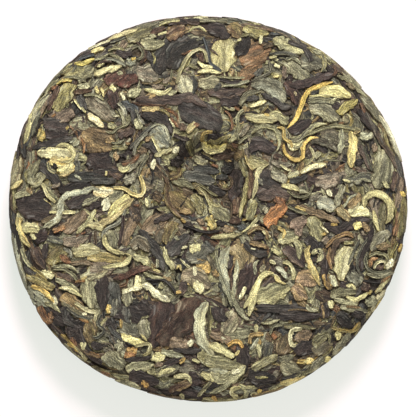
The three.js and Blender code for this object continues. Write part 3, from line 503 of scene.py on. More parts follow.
    "right, below the middle": """
sage-olive/broad 7 52.4,-6 54,-12 56,-19; charcoal 5 58,-10 66,-13 72,-10 82,-7.5
white 1 57,-11.5 60.5,-14.5; gold-straw 2.2 57.5,-14.5 58.5,-16; straw-yellow/torn 4 73,-11.8 77,-9.8
brown-tan 3 77,-10 80,-12 79,-14; straw-white/torn 6 71,-5.6 76,-3.6 80.8,-3
wheat-white 1.4 72,-5 75,-1 76,1; tan-rust 2.2 59,-22 64,-17 70,-15 73,-17
tan-rust 2 61,-22 60.5,-28 62,-33; mauve-grey 4 58,-17 60,-20; plum 3 63,-31 62.5,-25 65,-19 72,-17.5
straw-pale/broad 8 71,-21.6 67.4,-28 67,-39; olive-sage 2 68,-19.5 73,-19.5
slate-sage 1.6 76,-18 73,-24 70,-31; grey-slate 1.6 80,-17 76,-24 74.5,-31 76,-35
charcoal 4 83,-12 80,-20 77,-27 77,-34; dark-charcoal 4 72,-31 73,-35 78,-37
grey-sage 5 91,-14 86,-17 82,-24; brown-olive 4.6 85,-23 88,-21 90,-19.5
sage-slate 1.8 80,-24.5 78.5,-29 80.5,-33.5 86,-35 92,-33; sage 1.8 80.5,-27 84,-25 89,-26 90,-29
rust 2 81,-32 81.5,-28.5 85,-27.5; straw 1.4 83,-33 84.5,-30 88,-29 89,-31; plum 2.6 84,-32 88,-32
white-pale 3 89,-32.5 93,-28.5; olive 1.6 95,-19 92,-25 91,-28; charcoal 2 96.5,-18 93,-24
gold-olive 1.6 97,-20 95.5,-24; sage-grey 2 79,-35.5 86,-37 93,-34; dark 1.6 78,-39 85,-39.5 90,-36
russet-plum 5 77,-41 81,-43; ash-silver 6 70,-35 74,-38 76,-41; brown-gold/broad 4.6 59.6,-35.4 60.6,-43.6
silver-straw 3.4 62,-36 63.5,-42; charcoal 3.5 58.5,-28 58,-40; charcoal 4 55,-30 59,-25
charcoal 3 66,-40.5 70,-42; straw 2 69,-41.5 72,-41.5 74,-43.5; moss-sage 4.6 61,-46.4 68,-44.5 74,-45.4
straw-bright 2.6 69,-47 74,-48.5 80,-45; sage-light 2.5 63,-48.5 70,-50 75,-50.5
sage-grey 3 66,-52 72,-53 80,-55; tan 1.3 69,-52 76,-52.5; straw-sage 2 91,-36 87.4,-41 83.6,-45.4
charcoal-slate 2.6 90,-38.6 86,-43; pale-straw/broad 4.6 89.4,-44 86,-49 81.6,-54
yellow-bright 1.2 89.4,-45.4 84.4,-50.8; tan-sage/broad 4.6 65,-1.6 68,-5 71,-8.6
""",
    "lower left": """
rust 1.8 -83,-51.5 -81.5,-56 -79,-60; brown-rust 2.5 -79,-55 -77,-58.5
sage-straw 2.2 -81,-50 -77,-51.5 -73,-55; charcoal 3.5 -78,-53 -74,-56; charcoal 5 -71,-52 -70,-58 -66,-62
charcoal 6 -70,-64 -62,-64; slate-sage 1.6 -70,-53 -65,-56.5 -58,-58.5; rust-gold 1.8 -64,-58 -59,-60
wheat-white 2.2 -66,-50 -60,-54 -55.5,-55 -56,-59.5
slate-sage 2 -53,-56 -54.5,-61 -51.5,-64 -55,-67.5 -59,-67; white-straw 2.4 -61.5,-55 -60.8,-56.5
brown-olive/broad 8 -60,-59.6 -58,-65 -57,-70; gold-olive 2 -73,-66 -69,-70 -64,-75; rust 2 -68,-68 -65,-72
charcoal 2 -74,-66.5 -69,-72 -63,-77; sage-beige 2 -72,-70 -66,-76 -61,-79.5
wheat-straw 1.2 -66,-72 -60,-79; straw-light 2.8 -62,-69.5 -61.5,-74; charcoal 4 -58,-72 -52,-72
rust-olive 2.2 -59,-75.5 -53,-77.5; moss-silver 4.5 -51,-77 -48,-80 -45,-82
olive-brown 2 -58,-82 -52,-85 -47,-87; rust 1.3 -53,-84.5 -48,-86.5
charcoal-plum/broad 8 -79,-54 -73,-58 -68,-60; dark/broad 8 -70,-62.6 -64,-62 -60,-60
charcoal-plum/broad 7 -68,-60 -64.6,-66 -62,-70; rust-tan 3 -83.4,-51.6 -81.4,-56.6 -78,-60.6
""",
    "bottom, left half": """
gold-straw 2.4 -49,-51 -49.5,-55.5; gold 1.4 -43,-58.5 -43,-63; grey-slate 3.5 -46,-48 -47,-57
slate-grey 4.5 -40,-52 -41,-60; ash-silver/broad 8.5 -43.6,-61 -37,-64.4 -30,-61.6
sage 1.2 -33,-58 -29,-57; straw-yellow 4 -43.4,-66.4 -38,-68.8 -31,-70.5
wheat-olive 2 -36,-72 -29,-71 -29,-75 -32,-77; straw 1 -33,-66 -30,-69.5
rust-gold/torn 6.4 -41,-75 -35.4,-76; slate-charcoal 2.6 -49,-62 -44,-67 -36,-71.5
dark-plum 2.4 -41,-79 -34,-78.5 -28,-78; sage-light/broad 5 -40.4,-84.4 -34,-82.4 -26.6,-81
sage 2.5 -30,-84.5 -25,-86; straw-sage 2.6 -25,-87 -22,-85 -16,-83.5
sage-grey/broad 8 -50,-75 -46.6,-79 -42.4,-84; straw-bright/torn 5.4 -27,-76.4 -21.4,-78.6
sage-silver 3.4 -23,-74.8 -18,-75.8 -11.6,-77.4; mauve-brown 2.8 -26,-81 -22,-81.5
charcoal 3 -22,-82 -15,-79 -12,-78; gold-tan 2 -14,-80.5 -11,-78; mauve-brown/torn 6.4 -18.6,-70 -9,-72
white-bright 2.6 -9.4,-72 -7.4,-69; charcoal 2.6 -17,-73.5 -10,-74.5 -3,-74.5
straw 1.6 -7.5,-78.5 -4,-80.5; sage-olive 6 -5,-76 4,-80 18,-82; wheat-sage 3 -17,-87.4 -10,-87.4 -8,-91
plum-charcoal/broad 6 -10,-87.6 -3,-90; straw-sage 3 -3,-85.5 1,-88 3,-90
moss-wheat 2.2 2,-90 -2,-94 -5,-97.5; russet-brown 2.4 -17,-93 -12,-91.5
russet-brown 3 -19,-95 -15,-92.5 -10,-91; sage 2.4 -22,-92 -18,-90
charcoal-plum/broad 6 -39,-87 -32,-88.4 -24,-90.4; sage-light 2 -46,-89 -38,-91 -33,-93
gold-rust/torn 2.4 -32.6,-89.8 -29.4,-92.4; brown 1.6 -30,-95.5 -20,-97.5 -12,-98
straw 1.3 -13.5,-96 -11.5,-98; olive-sage 2.5 -3,-99 6,-99.5 15,-99
sage-grey/broad 6 -31,-58 -31.6,-63 -30.6,-69; brown-tan/broad 4 -16,-93 -8,-91
sage-olive/broad 7 -4.4,-79 0,-74; charcoal-slate/torn 5 -49,-58 -46,-64
ash-sage/broad 5 -26,-86 -20,-84.4 -14,-82; slate-brown/torn 4 -48,-66 -46,-71
sage-grey/torn 5 -46,-70 -42,-73
""",
    "bottom, right half": """
sage-wheat 6 0,-86.4 7,-88.8 14,-86.4 19,-82; sage-light 2.4 12,-90 6,-94 1,-96
sage-silver 3 1,-84.5 6,-84.5 11,-85.5; dark-slate 3 0,-92 5,-92; white-straw 2.5 12,-85.5 16,-84
sage-mauve/broad 8 14.6,-55.6 11,-60 7,-65.6; sage-grey/broad 8.4 7,-65 14,-66 21,-66.6
brown-mauve 4.5 1,-66 8,-68 12,-71; gold-orange 2.2 10,-72 13,-70 16,-70 17.5,-73
straw-gold 1.6 14,-77 15.5,-74; tan-gold 2.2 21,-71 21.5,-67 24,-66 28,-66; gold 2.2 26.5,-69 24.5,-71.5
straw 1.8 24,-61 24.5,-65.5; silver-sage 2 25.5,-68 21.5,-74; straw-sage 4.2 1,-71 6,-73 13,-78
wheat-silver 2.4 25,-70 26,-78; moss-wheat 4.5 22,-84 28,-80 35,-77
dark-charcoal/broad 7 20,-87 27,-88.6 34,-88; olive-straw 1.4 23.6,-88 30,-87.8
white-straw 2.3 47,-63.5 42.5,-64 41,-68 42,-71.5 44,-71.5; brown-mauve/broad 7 44,-66 48,-67 52,-65.6
charcoal/broad 8 44,-76 48,-73 53,-70; sage-slate 1.6 31,-66 33,-62 37,-61.5
sage-light 1.4 26.5,-60.5 32,-60 36,-58.5; charcoal 4 24,-53 36,-53 50,-53.5
charcoal 4.5 35,-57 45,-57 56,-57; brown-tan 1 40,-54 45,-53.5 54,-54.5; tan 1.2 22.5,-52.5 25,-53.8
sage-silver 2 49,-51 51,-53.5 55,-54; ash-olive 2.6 38,-62 46,-62 54,-63; rust-orange 2.6 32,-66 34.5,-68
slate-moss/broad 5 31,-70 28.6,-78; charcoal-plum/broad 7 17,-71 17.6,-78 18,-86
brown-moss/broad 7 36,-76 38.6,-71 40,-66; ash-moss/torn 3.4 35.6,-78.6 43,-77.6
sage-mauve/broad 9 36,-81.6 42,-84.6 48.6,-87.4; straw 3.4 49,-81 52,-78
straw-gold/strap 2.6 36,-91 43,-89.6 49.6,-87.4; straw-olive 2.2 16,-93 13,-93.5 12,-96 15,-97.5
sage-straw 2.4 15.5,-91.5 19,-94 19,-98; gold-rust 1.4 2,-97.5 5,-99
sage-straw/broad 5 19,-94 27,-94.6 35,-92; gold 1.4 24.5,-94.5 27,-94.5
tan-olive 1.8 22,-97 30,-95.5 40,-92
""",
    "lower right": """
tan 1.4 57,-51 58,-58; straw-silver 3 61,-49 61.5,-53; charcoal 5 58,-50 59,-58
charcoal-slate 5 65,-55 70,-60; dark-charcoal 4 72,-55 78,-57.5
olive-gold 1.6 62,-63 68,-64.5 73,-64 76,-60; straw-olive 3.5 64,-64.5 66,-68.5
moss-straw/broad 6 52,-71 56,-68.6 60,-66; moss-straw 1.6 53,-70.5 56,-67.5 60,-66 61,-71
dark-charcoal 3 61,-66 62.5,-70; ash-brown/broad 6 53,-76 58,-72.6 62,-70; olive 1.4 57,-77 60,-75 62,-72
sage-grey/strap 4 71,-65 67,-71 62,-76; charcoal 2 73,-66 69,-72; straw-yellow 3 59,-80 60.5,-77
sage-grey/broad 4 52,-84 56,-80 60,-76; rust-tan 1.6 86,-40 91,-36; sage/torn 4 79,-51 84,-47.6
olive-gold 1.6 80,-46 82,-43.6; dark-charcoal/broad 4.6 64,-58 69,-60.4 73,-61.6
""",
}

# what each tone in the plan looks like, as screen colours from 0 to 255
tones = {
    "plum": (60, 47, 43),
    "charcoal": (44, 37, 33),
    "slate": (70, 71, 65),
    "dark": (25, 20, 15),
    "sage": (160, 155, 119),
    "olive": (150, 139, 86),
    "moss": (118, 112, 84),
    "ash": (99, 94, 76),
    "grey": (134, 128, 110),
    "straw": (220, 210, 148),
    "wheat": (184, 174, 124),
    "white": (255, 250, 212),
    "silver": (182, 184, 160),
    "pale": (226, 219, 178),
    "gold": (222, 184, 100),
    "yellow": (232, 214, 120),
    "rust": (150, 104, 70),
    "russet": (78, 55, 43),
    "tan": (176, 150, 101),
    "brown": (119, 98, 71),
    "mauve": (138, 121, 101),
    "beige": (180, 168, 132),
    "orange": (198, 138, 86),
    "pink": (170, 142, 122),
    "blue": (86, 92, 96),
    "red": (106, 66, 58),
    "light": (204, 198, 154),
    "bright": (238, 230, 174),
}
pieceTones = {
    "darkLeaves": ["plum", "charcoal", "slate", "dark"],
    "sageLeaves": ["sage", "olive", "moss", "ash", "grey"],
    "strawBuds": ["straw", "wheat", "white", "silver", "pale"],
    "goldenStems": ["gold", "yellow"],
    "brownLeaves": ["rust", "russet", "tan", "brown", "mauve", "beige", "red", "orange"],
}
firstShare = 0.85  # how much of the first word is in a leaf's main colour
secondShare = 0.8  # how much of the second word is in its streaks
toneGain = 1 / 1.12  # the photo's brightness over the leaf's own


# screen colours as the renderer counts light
def toLinear(screen):
    screen = np.asarray(screen, float) / 255
    return np.where(screen <= 0.04045, screen / 12.92, ((screen + 0.055) / 1.055) ** 2.4)


# a leaf with one word only takes one of these as its second
companions = {
    "plum": ["slate", "brown", "russet", "mauve"],
    "charcoal": ["slate", "plum", "plum", "brown"],
    "slate": ["grey", "blue", "plum", "charcoal"],
    "dark": ["charcoal", "plum"],
    "sage": ["straw", "grey", "olive", "slate"],
    "olive": ["yellow", "sage", "brown"],
    "grey": ["sage", "slate", "brown"],
    "straw": ["gold", "white", "sage"],
    "white": ["straw", "gold"],
    "pale": ["straw", "sage"],
    "gold": ["straw", "tan", "yellow"],
    "rust": ["russet", "tan", "plum"],
    "russet": ["plum", "rust"],
    "tan": ["brown", "straw", "rust"],
    "brown": ["plum", "tan", "grey"],
    "mauve": ["brown", "grey", "plum"],
}


def toneColours(words):
    first, *rest = words.split("-")
    second = rest[0] if rest else companions[first][draw.integers(len(companions[first]))]
    one, two = np.array(tones[first], float), np.array(tones[second], float)
    main = firstShare * one + (1 - firstShare) * two
    streak = secondShare * two + (1 - secondShare) * one
    return toLinear(main) * toneGain, toLinear(streak) * toneGain


def pieceOf(words):
    first = words.split("-")[0]
    return next(piece for piece, names in pieceTones.items() if first in names)


# how a leaf is pressed on to the cake, lengths in millimetres
pressing = {
    "skirt": 1.1,  # how far its turned-down edges reach into the bed
    "straightSteps": 9,
    "bentSteps": 10,  # for each stretch between two points of its middle line
    "phases": 6.28,  # the waves below start anywhere within this
    "waver": 0.05,  # unevenness of its sides, as a share of its half width
    "waverLengths": (2.1, 0.9),
    "jagged": {"broad": (0.74, 1.14), "torn": (0.7, 1.15), "bud": (0.7, 1.16), "strap": (0.68, 1.2),
               "stem": (0.75, 1.15)},  # each point of its sides, as a share of the half width
    "ripple": 0.07,  # unevenness of its height
    "rippleLengths": (1.7, 1.3, 4),
    "fold": 0.13,  # height of its lengthwise folds
    "crumple": 0.04,
    "foldedWidth": 5,  # a narrower leaf has lower folds
    "tilt": {"broad": 0.18, "torn": 0.2, "bud": 0.14, "strap": 0.14, "stem": 0.08},
    "slant": {"broad": 0.7, "torn": 0.9, "bud": 0.3, "strap": 0.2, "stem": 0.1},  # of its ends
    "grainShift": 40,  # each leaf has its own stretch of the grain, within this many centimetres
    "streakSpread": 1.5,
    "streakFrom": 0.6,  # a higher number leaves more rows without the second tone
    "streakWave": 0.15,
    "streakPitch": 0.8,
    "toneJitter": 0.12,
    "stripes": 0.19,  # how much lighter or darker one row is than the next
    "blotch": 0.03,
    # a leaf that lies lower is darkened by these shares: painted shade from the leaves over it
    "depths": [-1.4, -0.4, 0.1],
    "paintedDepthShade": [0.66, 0.98, 1.06],
    "widths": [1.2, 3.2],
    "widthTones": [0.86, 1.0],
}
parts = {name: [] for name in pieceTones}


# a smooth curve through the points, straight where there are only two
def smoothLine(points):
    points = np.array(points, float)
    if len(points) == 2:
        return np.linspace(points[0], points[1], pressing["straightSteps"])
    guides = np.vstack([2 * points[0] - points[1], points, 2 * points[-1] - points[-2]])
    steps = np.linspace(0, 1, pressing["bentSteps"], endpoint=False)[:, None]
    runs = []
    for a, b, c, d in zip(guides, guides[1:], guides[2:], guides[3:]):
        bend = (2 * a - 5 * b + 4 * c - d) * steps**2 + (3 * b - a - 3 * c + d) * steps**3
        runs.append((2 * b + (c - a) * steps + bend) / 2)
    return np.vstack([*runs, points[-1:]])


def modelWidths(shape):
    along = models[shape]["points"][:, 0]
    columns = leafShapes[shape]["columns"]
    return np.interp((along + 1) / 2 * columns, np.arange(columns + 1), leafShapes[shape]["outline"])


def rowsAndColumns(shape):
    columns, rows = leafShapes[shape]["columns"], leafShapes[shape]["rows"]
    row, column = np.divmod(np.arange(len(models[shape]["points"])), columns + 1)
    return np.clip(row, 1, rows - 1), column


# the direction of the middle line at each station along it
def headingOf(line, run, station):
    slope = np.gradient(line, axis=0)
    slope /= np.hypot(*slope.T)[:, None] + tiny["length"]
    headX, headY = np.interp(station, run, slope[:, 0]), np.interp(station, run, slope[:, 1])
    size = np.hypot(headX, headY) + tiny["length"]
    return headX / size, headY / size


# two colours in rows along the leaf, with painted shade that darkens it where it lies deep under the
# others, and darker where it is narrow
def paintLeaf(mesh, shape, words, width, lift, phase):
    along, across, height = models[shape]["points"].T
    row, column = rowsAndColumns(shape)
    rows = leafShapes[shape]["rows"]
    main, streak = toneColours(words)
    mask = draw.uniform(0, 1, rows + 1)[row] * pressing["streakSpread"] - pressing["streakFrom"]
    mask = mask + pressing["streakWave"] * np.sin(column * pressing["streakPitch"] + phase + row)
    mask = np.clip(mask, 0, 1)[:, None]
    gain = 1 + draw.uniform(-1, 1) * pressing["toneJitter"]
    gain = gain + draw.uniform(-1, 1, rows + 1)[row] * pressing["stripes"]
    gain = gain + draw.uniform(-1, 1, len(along)) * pressing["blotch"]
    # painted shade: the deeper the leaf lies, the darker
    gain = gain * np.interp(lift, pressing["depths"], pressing["paintedDepthShade"])
    gain = gain * np.interp(width, pressing["widths"], pressing["widthTones"])
    colours = (main * (1 - mask) + streak * mask) * gain[:, None]
    opaque = np.ones(len(along))
    mesh.color_attributes["leafTone"].data.foreach_set("color", np.column_stack([colours, opaque]).ravel())
    # how near each point is to the leaf's side, 1 on the turned-down edges: the finish paints shade there
    edge = np.where(height < 0, 1.0, np.abs(across) / (modelWidths(shape) + tiny["width"]))
    luck = opaque * draw.uniform()  # the leaf's own chance number, kept in blue, which no finish reads
    places = np.stack([np.clip(edge, 0, 1), (along + 1) / 2, luck, opaque], 1)
    mesh.color_attributes["leafPlace"].data.foreach_set("color", places.ravel())


def pressLeaf(shape, words, width, points, lift, place, thickness):
    model = models[shape]
    along, across, height = model["points"].T
    line = smoothLine(points)
    run = np.concatenate([[0], np.cumsum(np.hypot(*np.diff(line, axis=0).T))])
    station = (along + 1) / 2 * run[-1]
    headX, headY = headingOf(line, run, station)
    phases = draw.uniform(0, pressing["phases"], 6)
    side = np.where(across > 0, phases[0], phases[1])
    long, short = pressing["waverLengths"]
    waver = 1 + pressing["waver"] * (np.sin(station / long + side) + np.sin(station / short + 2 * side))
    row, column = rowsAndColumns(shape)
    columns, rows = leafShapes[shape]["columns"], leafShapes[shape]["rows"]
    jagged = draw.uniform(*pressing["jagged"][shape], (columns + 1, 2))
    folds, crumples = draw.uniform(-1, 1, rows + 1), draw.uniform(-1, 1, len(along))
    sideways = across * width / 2 * waver * jagged[column, (across > 0).astype(int)]
    slanted = station + draw.uniform(-1, 1) * pressing["slant"][shape] * sideways
    station = np.clip(slanted, 0, run[-1])
    x = np.interp(station, run, line[:, 0]) - headY * sideways
    y = np.interp(station, run, line[:, 1]) + headX * sideways
    alongLength, acrossLength, wideLength = pressing["rippleLengths"]
    ripple = np.sin(station / alongLength + phases[2]) * np.cos(sideways / acrossLength + phases[3])
    ripple = ripple + np.sin(station / wideLength + phases[4])
    tilt = draw.uniform(-1, 1) * pressing["tilt"][shape] * across
    folded = min(width / pressing["foldedWidth"], 1)
    level = lift + pressing["ripple"] * ripple + tilt
    level = level + folded * (pressing["fold"] * folds[row] + pressing["crumple"] * crumples)
    level = level + np.where(height > 0, height * thickness, height * pressing["skirt"])
    mesh = model["object"].data.copy()
    mesh.vertices.foreach_set("co", (place(x, y, level) * mm).ravel())
    shift = draw.uniform(0, pressing["grainShift"], 2)
    grain = np.stack([station / 10 + shift[0], sideways / 10 + shift[1]], 1)  # in centimetres
    mesh.uv_layers["leafRun"].uv.foreach_set("vector", grain[model["corners"]].ravel())
    paintLeaf(mesh, shape, words, width, lift, phases[5])
    leaf = bpy.data.objects.new("leaf", mesh)
    bpy.context.scene.collection.objects.link(leaf)
    parts[pieceOf(words)].append(leaf)


# the leaves in the plan, the wide ones lowest and the pale narrow ones on top
planned = {
    "seed": 5,
    "seedScale": 10,  # each leaf draws its chances from its own place
    "seedShift": 2000,
    "seenFrom": 24.4,  # the plan was read as if every leaf lay at this height
    "lean": 0.21,  # a leaf that lies lower is this much of the difference further from the viewer
    "inward": 0.98,  # its height is taken this share of the way out
    "lowest": -0.62,
    "range": 0.62,
    "widest": 12,
    "brightLift": 0.06,
    "darkLift": -0.04,
    "jitter": 0.05,
    "rimLift": 0.28,
    "rimFrom": 85,
    "slim": 2.3,
    "broad": 4.1,
    "longPoints": 4,
    "reach": {"broad": 1.2, "torn": 1.18, "bud": 1.12, "strap": 1.06, "stem": 1.06},
    "stubby": 2.7,  # a leaf shorter than this many widths has another shape
    "stubbyBroad": 0.25,
    "slimStem": 0.5,
    "otherBroad": 0.35,
}


def plannedShape(words, width, points):
    bright = pieceOf(words) in ("strawBuds", "goldenStems")
    length = np.hypot(*np.diff(np.array(points), axis=0).T).sum()
    if len(points) >= planned["longPoints"]:
        return "strap" if width > planned["slim"] else "stem"
    if length < planned["stubby"] * width:
        return "broad" if draw.uniform() < planned["stubbyBroad"] else "torn"
    if width < planned["slim"]:
        return "stem" if draw.uniform() < planned["slimStem"] else "bud"
    if bright and width < planned["broad"]:
        return "bud"
    return "broad" if draw.uniform() < planned["otherBroad"] else "torn"


# how thick a leaf is, in millimetres, and the share of it that a leaf by chance has
domes = {"rounded": ("bud", "stem"), "most": 0.3, "perWidth": 0.11, "flat": 0.1, "chance": 0.8}


def domeOf(shape, width):
    if shape in domes["rounded"]:
        return min(domes["most"], domes["perWidth"] * width)
    return domes["flat"]


# a place as read off the photo, moved to where it lies on the cake
def placeInPlan(x, y):
    inward = planned["inward"]
    height = float(topHeight(np.array([x * inward]), np.array([y * inward]))[0])
    return x, y + planned["lean"] * (planned["seenFrom"] - height)


def readLeaf(entry):
    words, width, *spots = entry.split()
    words, _, wanted = words.partition("/")
    points = [placeInPlan(*(float(number) for number in spot.split(","))) for spot in spots]
    return words, float(width), points, wanted


entries = ";".join(leafPlan.values()).replace("\n", ";").split(";")
leaves = [readLeaf(entry) for entry in entries if entry.strip()]
leaves.sort(key=lambda leaf: -leaf[1])
for words, width, points, wanted in leaves:
    ownPlace = [int(planned["seedScale"] * number + planned["seedShift"]) for number in points[0]]
    draw = np.random.default_rng([planned["seed"], *ownPlace])
    slimness = 1 - min(width, planned["widest"]) / planned["widest"]
    lift = planned["lowest"] + planned["range"] * slimness + draw.uniform(-1, 1) * planned["jitter"]
    piece = pieceOf(words)
    lift += planned["brightLift"] * (piece in ("strawBuds", "goldenStems"))
    lift += planned["darkLift"] * (piece == "darkLeaves")
    lift += planned["rimLift"] * (math.hypot(*points[len(points) // 2]) > planned["rimFrom"])
    shape = wanted or plannedShape(words, width, points)
    reach = planned["reach"][shape]
    pressLeaf(shape, words, width * reach, points, lift, onTop, domeOf(shape, width))
print("planned leaves pressed:", len(leaves))

# leaves by chance: under the planned ones, round the edge and on the underside
draw = np.random.default_rng(71)  # they all draw from here, one after the other
# each mix: its tones, and how common each is
mixes = {
    "under": "plum 5, charcoal 4, slate 4, plum-brown 3, sage-grey 5, olive-grey 3, grey-brown 4, "
             "grey-sage 4, mauve-grey 3, brown-dark 3, russet 1, sage 3, tan-brown 2",
    "flakes": "plum 4, charcoal 3, slate-sage 4, sage-grey 5, olive-sage 4, grey-mauve 3, brown-tan 4, "
              "mauve 3, tan-brown 3, sage-straw 4, rust-brown 2",
    "small": "sage-light 3, sage 5, straw-sage 3, straw 2, plum 5, charcoal 4, slate 4, rust-brown 2, "
             "tan 2, mauve 2, olive-gold 2, gold-olive 1, brown 3, grey-sage 4",
    "outside": "plum 7, charcoal 7, slate 6, slate-sage 6, sage-grey 5, sage 4, olive-sage 4, "
               "sage-light 2, sage-straw 2, brown 4, rust-brown 2, tan-brown 2, mauve-brown 2, "
               "gold-olive 1, olive-brown 4",
}
chanceShapes = {
    "slim": {"stem": 0.5, "bud": 0.3, "torn": 0.2},
    "wide": {"broad": 0.35, "torn": 0.65},
}
grid = {"rows": 0.866, "shake": 0.35}  # both as shares of the spacing


def chanceTone(mix):
    words, weights = zip(*(entry.split() for entry in mixes[mix].split(", ")))
    weights = np.array(weights, float)
    return words[draw.choice(len(words), p=weights / weights.sum())]


def chanceLeaf(x, y, heading, layer, place):
    width = draw.uniform(*layer["width"])
    length = draw.uniform(*layer["length"])
    bend = draw.uniform(-1, 1) * layer["bend"]
    points = []
    for share in (-0.5, 0, 0.5):
        turn = heading + bend * share
        points.append((x + length * share * math.cos(turn), y + length * share * math.sin(turn)))
    words = chanceTone(layer["mix"])
    odds = chanceShapes["slim" if width < planned["slim"] else "wide"]
    shape = draw.choice(list(odds), p=list(odds.values()))
    lift = draw.uniform(*layer["lift"])
    pressLeaf(shape, words, width, points, lift, place, domeOf(shape, width) * domes["chance"])


# places spread evenly and shaken, on a plane from low to high
def shakenGrid(lowX, highX, lowY, highY, spacing):
    spots = []
    shake = grid["shake"]
    for row, y in enumerate(np.arange(lowY, highY, spacing * grid["rows"])):
        for x in np.arange(lowX + (row % 2) * spacing / 2, highX, spacing):
            shakenX = x + draw.uniform(-shake, shake) * spacing
            spots.append((shakenX, y + draw.uniform(-shake, shake) * spacing))
    return spots


topLayers = [
    dict(spacing=8.6, width=(6, 10), length=(17, 28), bend=0.8, lift=(-1.4, -1.1), mix="under"),
    dict(spacing=8.5, width=(2.6, 6), length=(6, 15), bend=0.6, lift=(-1.3, -1.0), mix="flakes"),
    dict(spacing=8, width=(0.8, 2), length=(7, 18), bend=1.3, lift=(-1.2, -0.9), mix="small"),
]
edgeLayers = [
    dict(spacing=8.4, width=(5, 8), length=(13, 26), bend=0.5, lift=(-0.85, -0.5), mix="under"),
    dict(spacing=7.8, width=(2, 5), length=(10, 24), bend=0.7, lift=(-0.5, -0.15), mix="outside"),
    dict(spacing=10.4, width=(1, 2.6), length=(8, 22), bend=0.9, lift=(-0.2, 0.05), mix="outside"),
]
baseLayers = [
    dict(spacing=11, width=(7, 12), length=(20, 32), bend=0.6, lift=(-0.75, -0.5), mix="outside"),
    dict(spacing=11.5, width=(3, 8), length=(14, 28), bend=0.9, lift=(-0.5, -0.32), mix="outside"),
    dict(spacing=12, width=(1.4, 4), length=(9, 22), bend=1.3, lift=(-0.45, -0.28), mix="small"),
]
rim = {"from": 84, "to": 97, "turn": 0.3}  # beyond "from" the leaves lie along the edge
for layer in topLayers:
    for x, y in shakenGrid(-rim["to"], rim["to"], -rim["to"], rim["to"], layer["spacing"]):
        radius = math.hypot(x, y)
        if radius < rim["to"]:
            heading = draw.uniform(0, 2 * math.pi)
            if radius > rim["from"]:
                heading = math.atan2(y, x) + math.pi / 2 + draw.uniform(-1, 1) * rim["turn"]
            chanceLeaf(x, y, heading, layer, onTop)
edgeBand = {"low": -36, "high": 5, "turn": 0.32}
for layer in edgeLayers:
    around = 2 * math.pi * cakeForm["radius"]
    for along, up in shakenGrid(0, around, edgeBand["low"], edgeBand["high"], layer["spacing"]):
        chanceLeaf(along, up, draw.uniform(-1, 1) * edgeBand["turn"], layer, onEdge)
baseReach = 72  # how far out on the underside
for layer in baseLayers:
    for x, y in shakenGrid(-baseReach, baseReach, -baseReach, baseReach, layer["spacing"]):
        if math.hypot(x, y) < baseReach:
            chanceLeaf(x, y, draw.uniform(0, 2 * math.pi), layer, onBase)
print("leaves in all:", sum(len(group) for group in parts.values()))

# the dark bed of leaf scraps that shows between the leaves, lengths in millimetres
bed = {
    "segments": 144,
    "rings": 96,
    "crowding": 1.6,  # the rings lie closer together towards the edge
    "inset": 1.75,
    "baseInset": 0.95,
    "crumble": 0.5,
    "crumbSize": 2.2,
    "crumbDepth": 2,
    "crumbleMiddle": 0.75,  # so that most of the crumbs go inward
}


def modelBed():
    deselectAll()
    bpy.ops.mesh.primitive_uv_sphere_add(segments=bed["segments"], ring_count=bed["rings"], radius=1)
    core = bpy.context.object
    core.name = "teaBed"
    points = np.zeros(len(core.data.vertices) * 3)
    core.data.vertices.foreach_get("co", points)
    x, y, z = points.reshape(-1, 3).T
    fromPole = np.arccos(np.clip(np.abs(z), 0, 1)) / (math.pi / 2)
    share = 1 - (1 - fromPole) ** bed["crowding"]
    angle = np.arctan2(y, x)
    radius = share * (cakeForm["radius"] - bed["inset"]) * outlineAt(angle)
    x, y = radius * np.cos(angle), radius * np.sin(angle)
    crown = crownHeight(share, bed["inset"]) - dimpleDrop(x, y) + swell(x, y)
    height = np.where(z >= 0, crown, bellyHeight(share, bed["baseInset"]))
    core.data.vertices.foreach_set("co", (np.stack([x, y, height], 1) * mm).ravel())
    core.data.update()
    scraps = bpy.data.textures.new("leafScraps", "CLOUDS")
    scraps.noise_scale = bed["crumbSize"] * mm
    scraps.noise_depth = bed["crumbDepth"]
    crumble = core.modifiers.new("crumble", "DISPLACE")
    crumble.texture = scraps
    crumble.strength = bed["crumble"] * mm
    crumble.mid_level = bed["crumbleMiddle"]
    bpy.ops.object.modifier_apply(modifier="crumble")
    bpy.ops.object.shade_smooth()
    return core


teaBed = modelBed()
print("bed modelled:", len(teaBed.data.polygons), "faces")


# helpers for the finishes
def newGroup(name, inputs, outputs):
    group = bpy.data.node_groups.new(name, "ShaderNodeTree")
    for label, kind in inputs.items():
        group.interface.new_socket(name=label, in_out="INPUT", socket_type="NodeSocket" + kind)
    for label in outputs:
        group.interface.new_socket(name=label, in_out="OUTPUT", socket_type="NodeSocketFloat")
    return group, group.nodes.new("NodeGroupInput"), group.nodes.new("NodeGroupOutput")


def mathNode(tree, operation, first, second=None):
    node = tree.nodes.new("ShaderNodeMath")
    node.operation = operation
    for socket, value in zip(node.inputs, (first, second)):
        if value is None:
            continue
        if isinstance(value, (int, float)):
            socket.default_value = value
        else:
            tree.links.new(value, socket)
    return node.outputs[0]


# how far a value from 0 to 1 is from the middle
def fromMiddle(tree, value):
    return mathNode(tree, "ABSOLUTE", mathNode(tree, "SUBTRACT", value, 0.5))


def rangeNode(tree, value, low, high, toLow=0.0, toHigh=1.0):
    node = tree.nodes.new("ShaderNodeMapRange")
    node.interpolation_type = "SMOOTHSTEP"
    tree.links.new(value, node.inputs["Value"])
    for label, number in (("From Min", low), ("From Max", high), ("To Min", toLow), ("To Max", toHigh)):
        node.inputs[label].default_value = number
    return node.outputs["Result"]


def mixNode(tree, blend, factor, first, second):
    node = tree.nodes.new("ShaderNodeMix")
    node.data_type = "RGBA"
    node.blend_type = blend
    for socket, value in ((node.inputs[0], factor), (node.inputs[6], first), (node.inputs[7], second)):
        if isinstance(value, bpy.types.NodeSocket):
            tree.links.new(value, socket)
        else:
            socket.default_value = value
    return node.outputs[2]


# lays a tint over a colour where the mask is bright, and no more than the share
def coat(tree, blend, colour, mask, share, tint):
    return mixNode(tree, blend, mathNode(tree, "MULTIPLY", mask, share), colour, (*tint, 1))


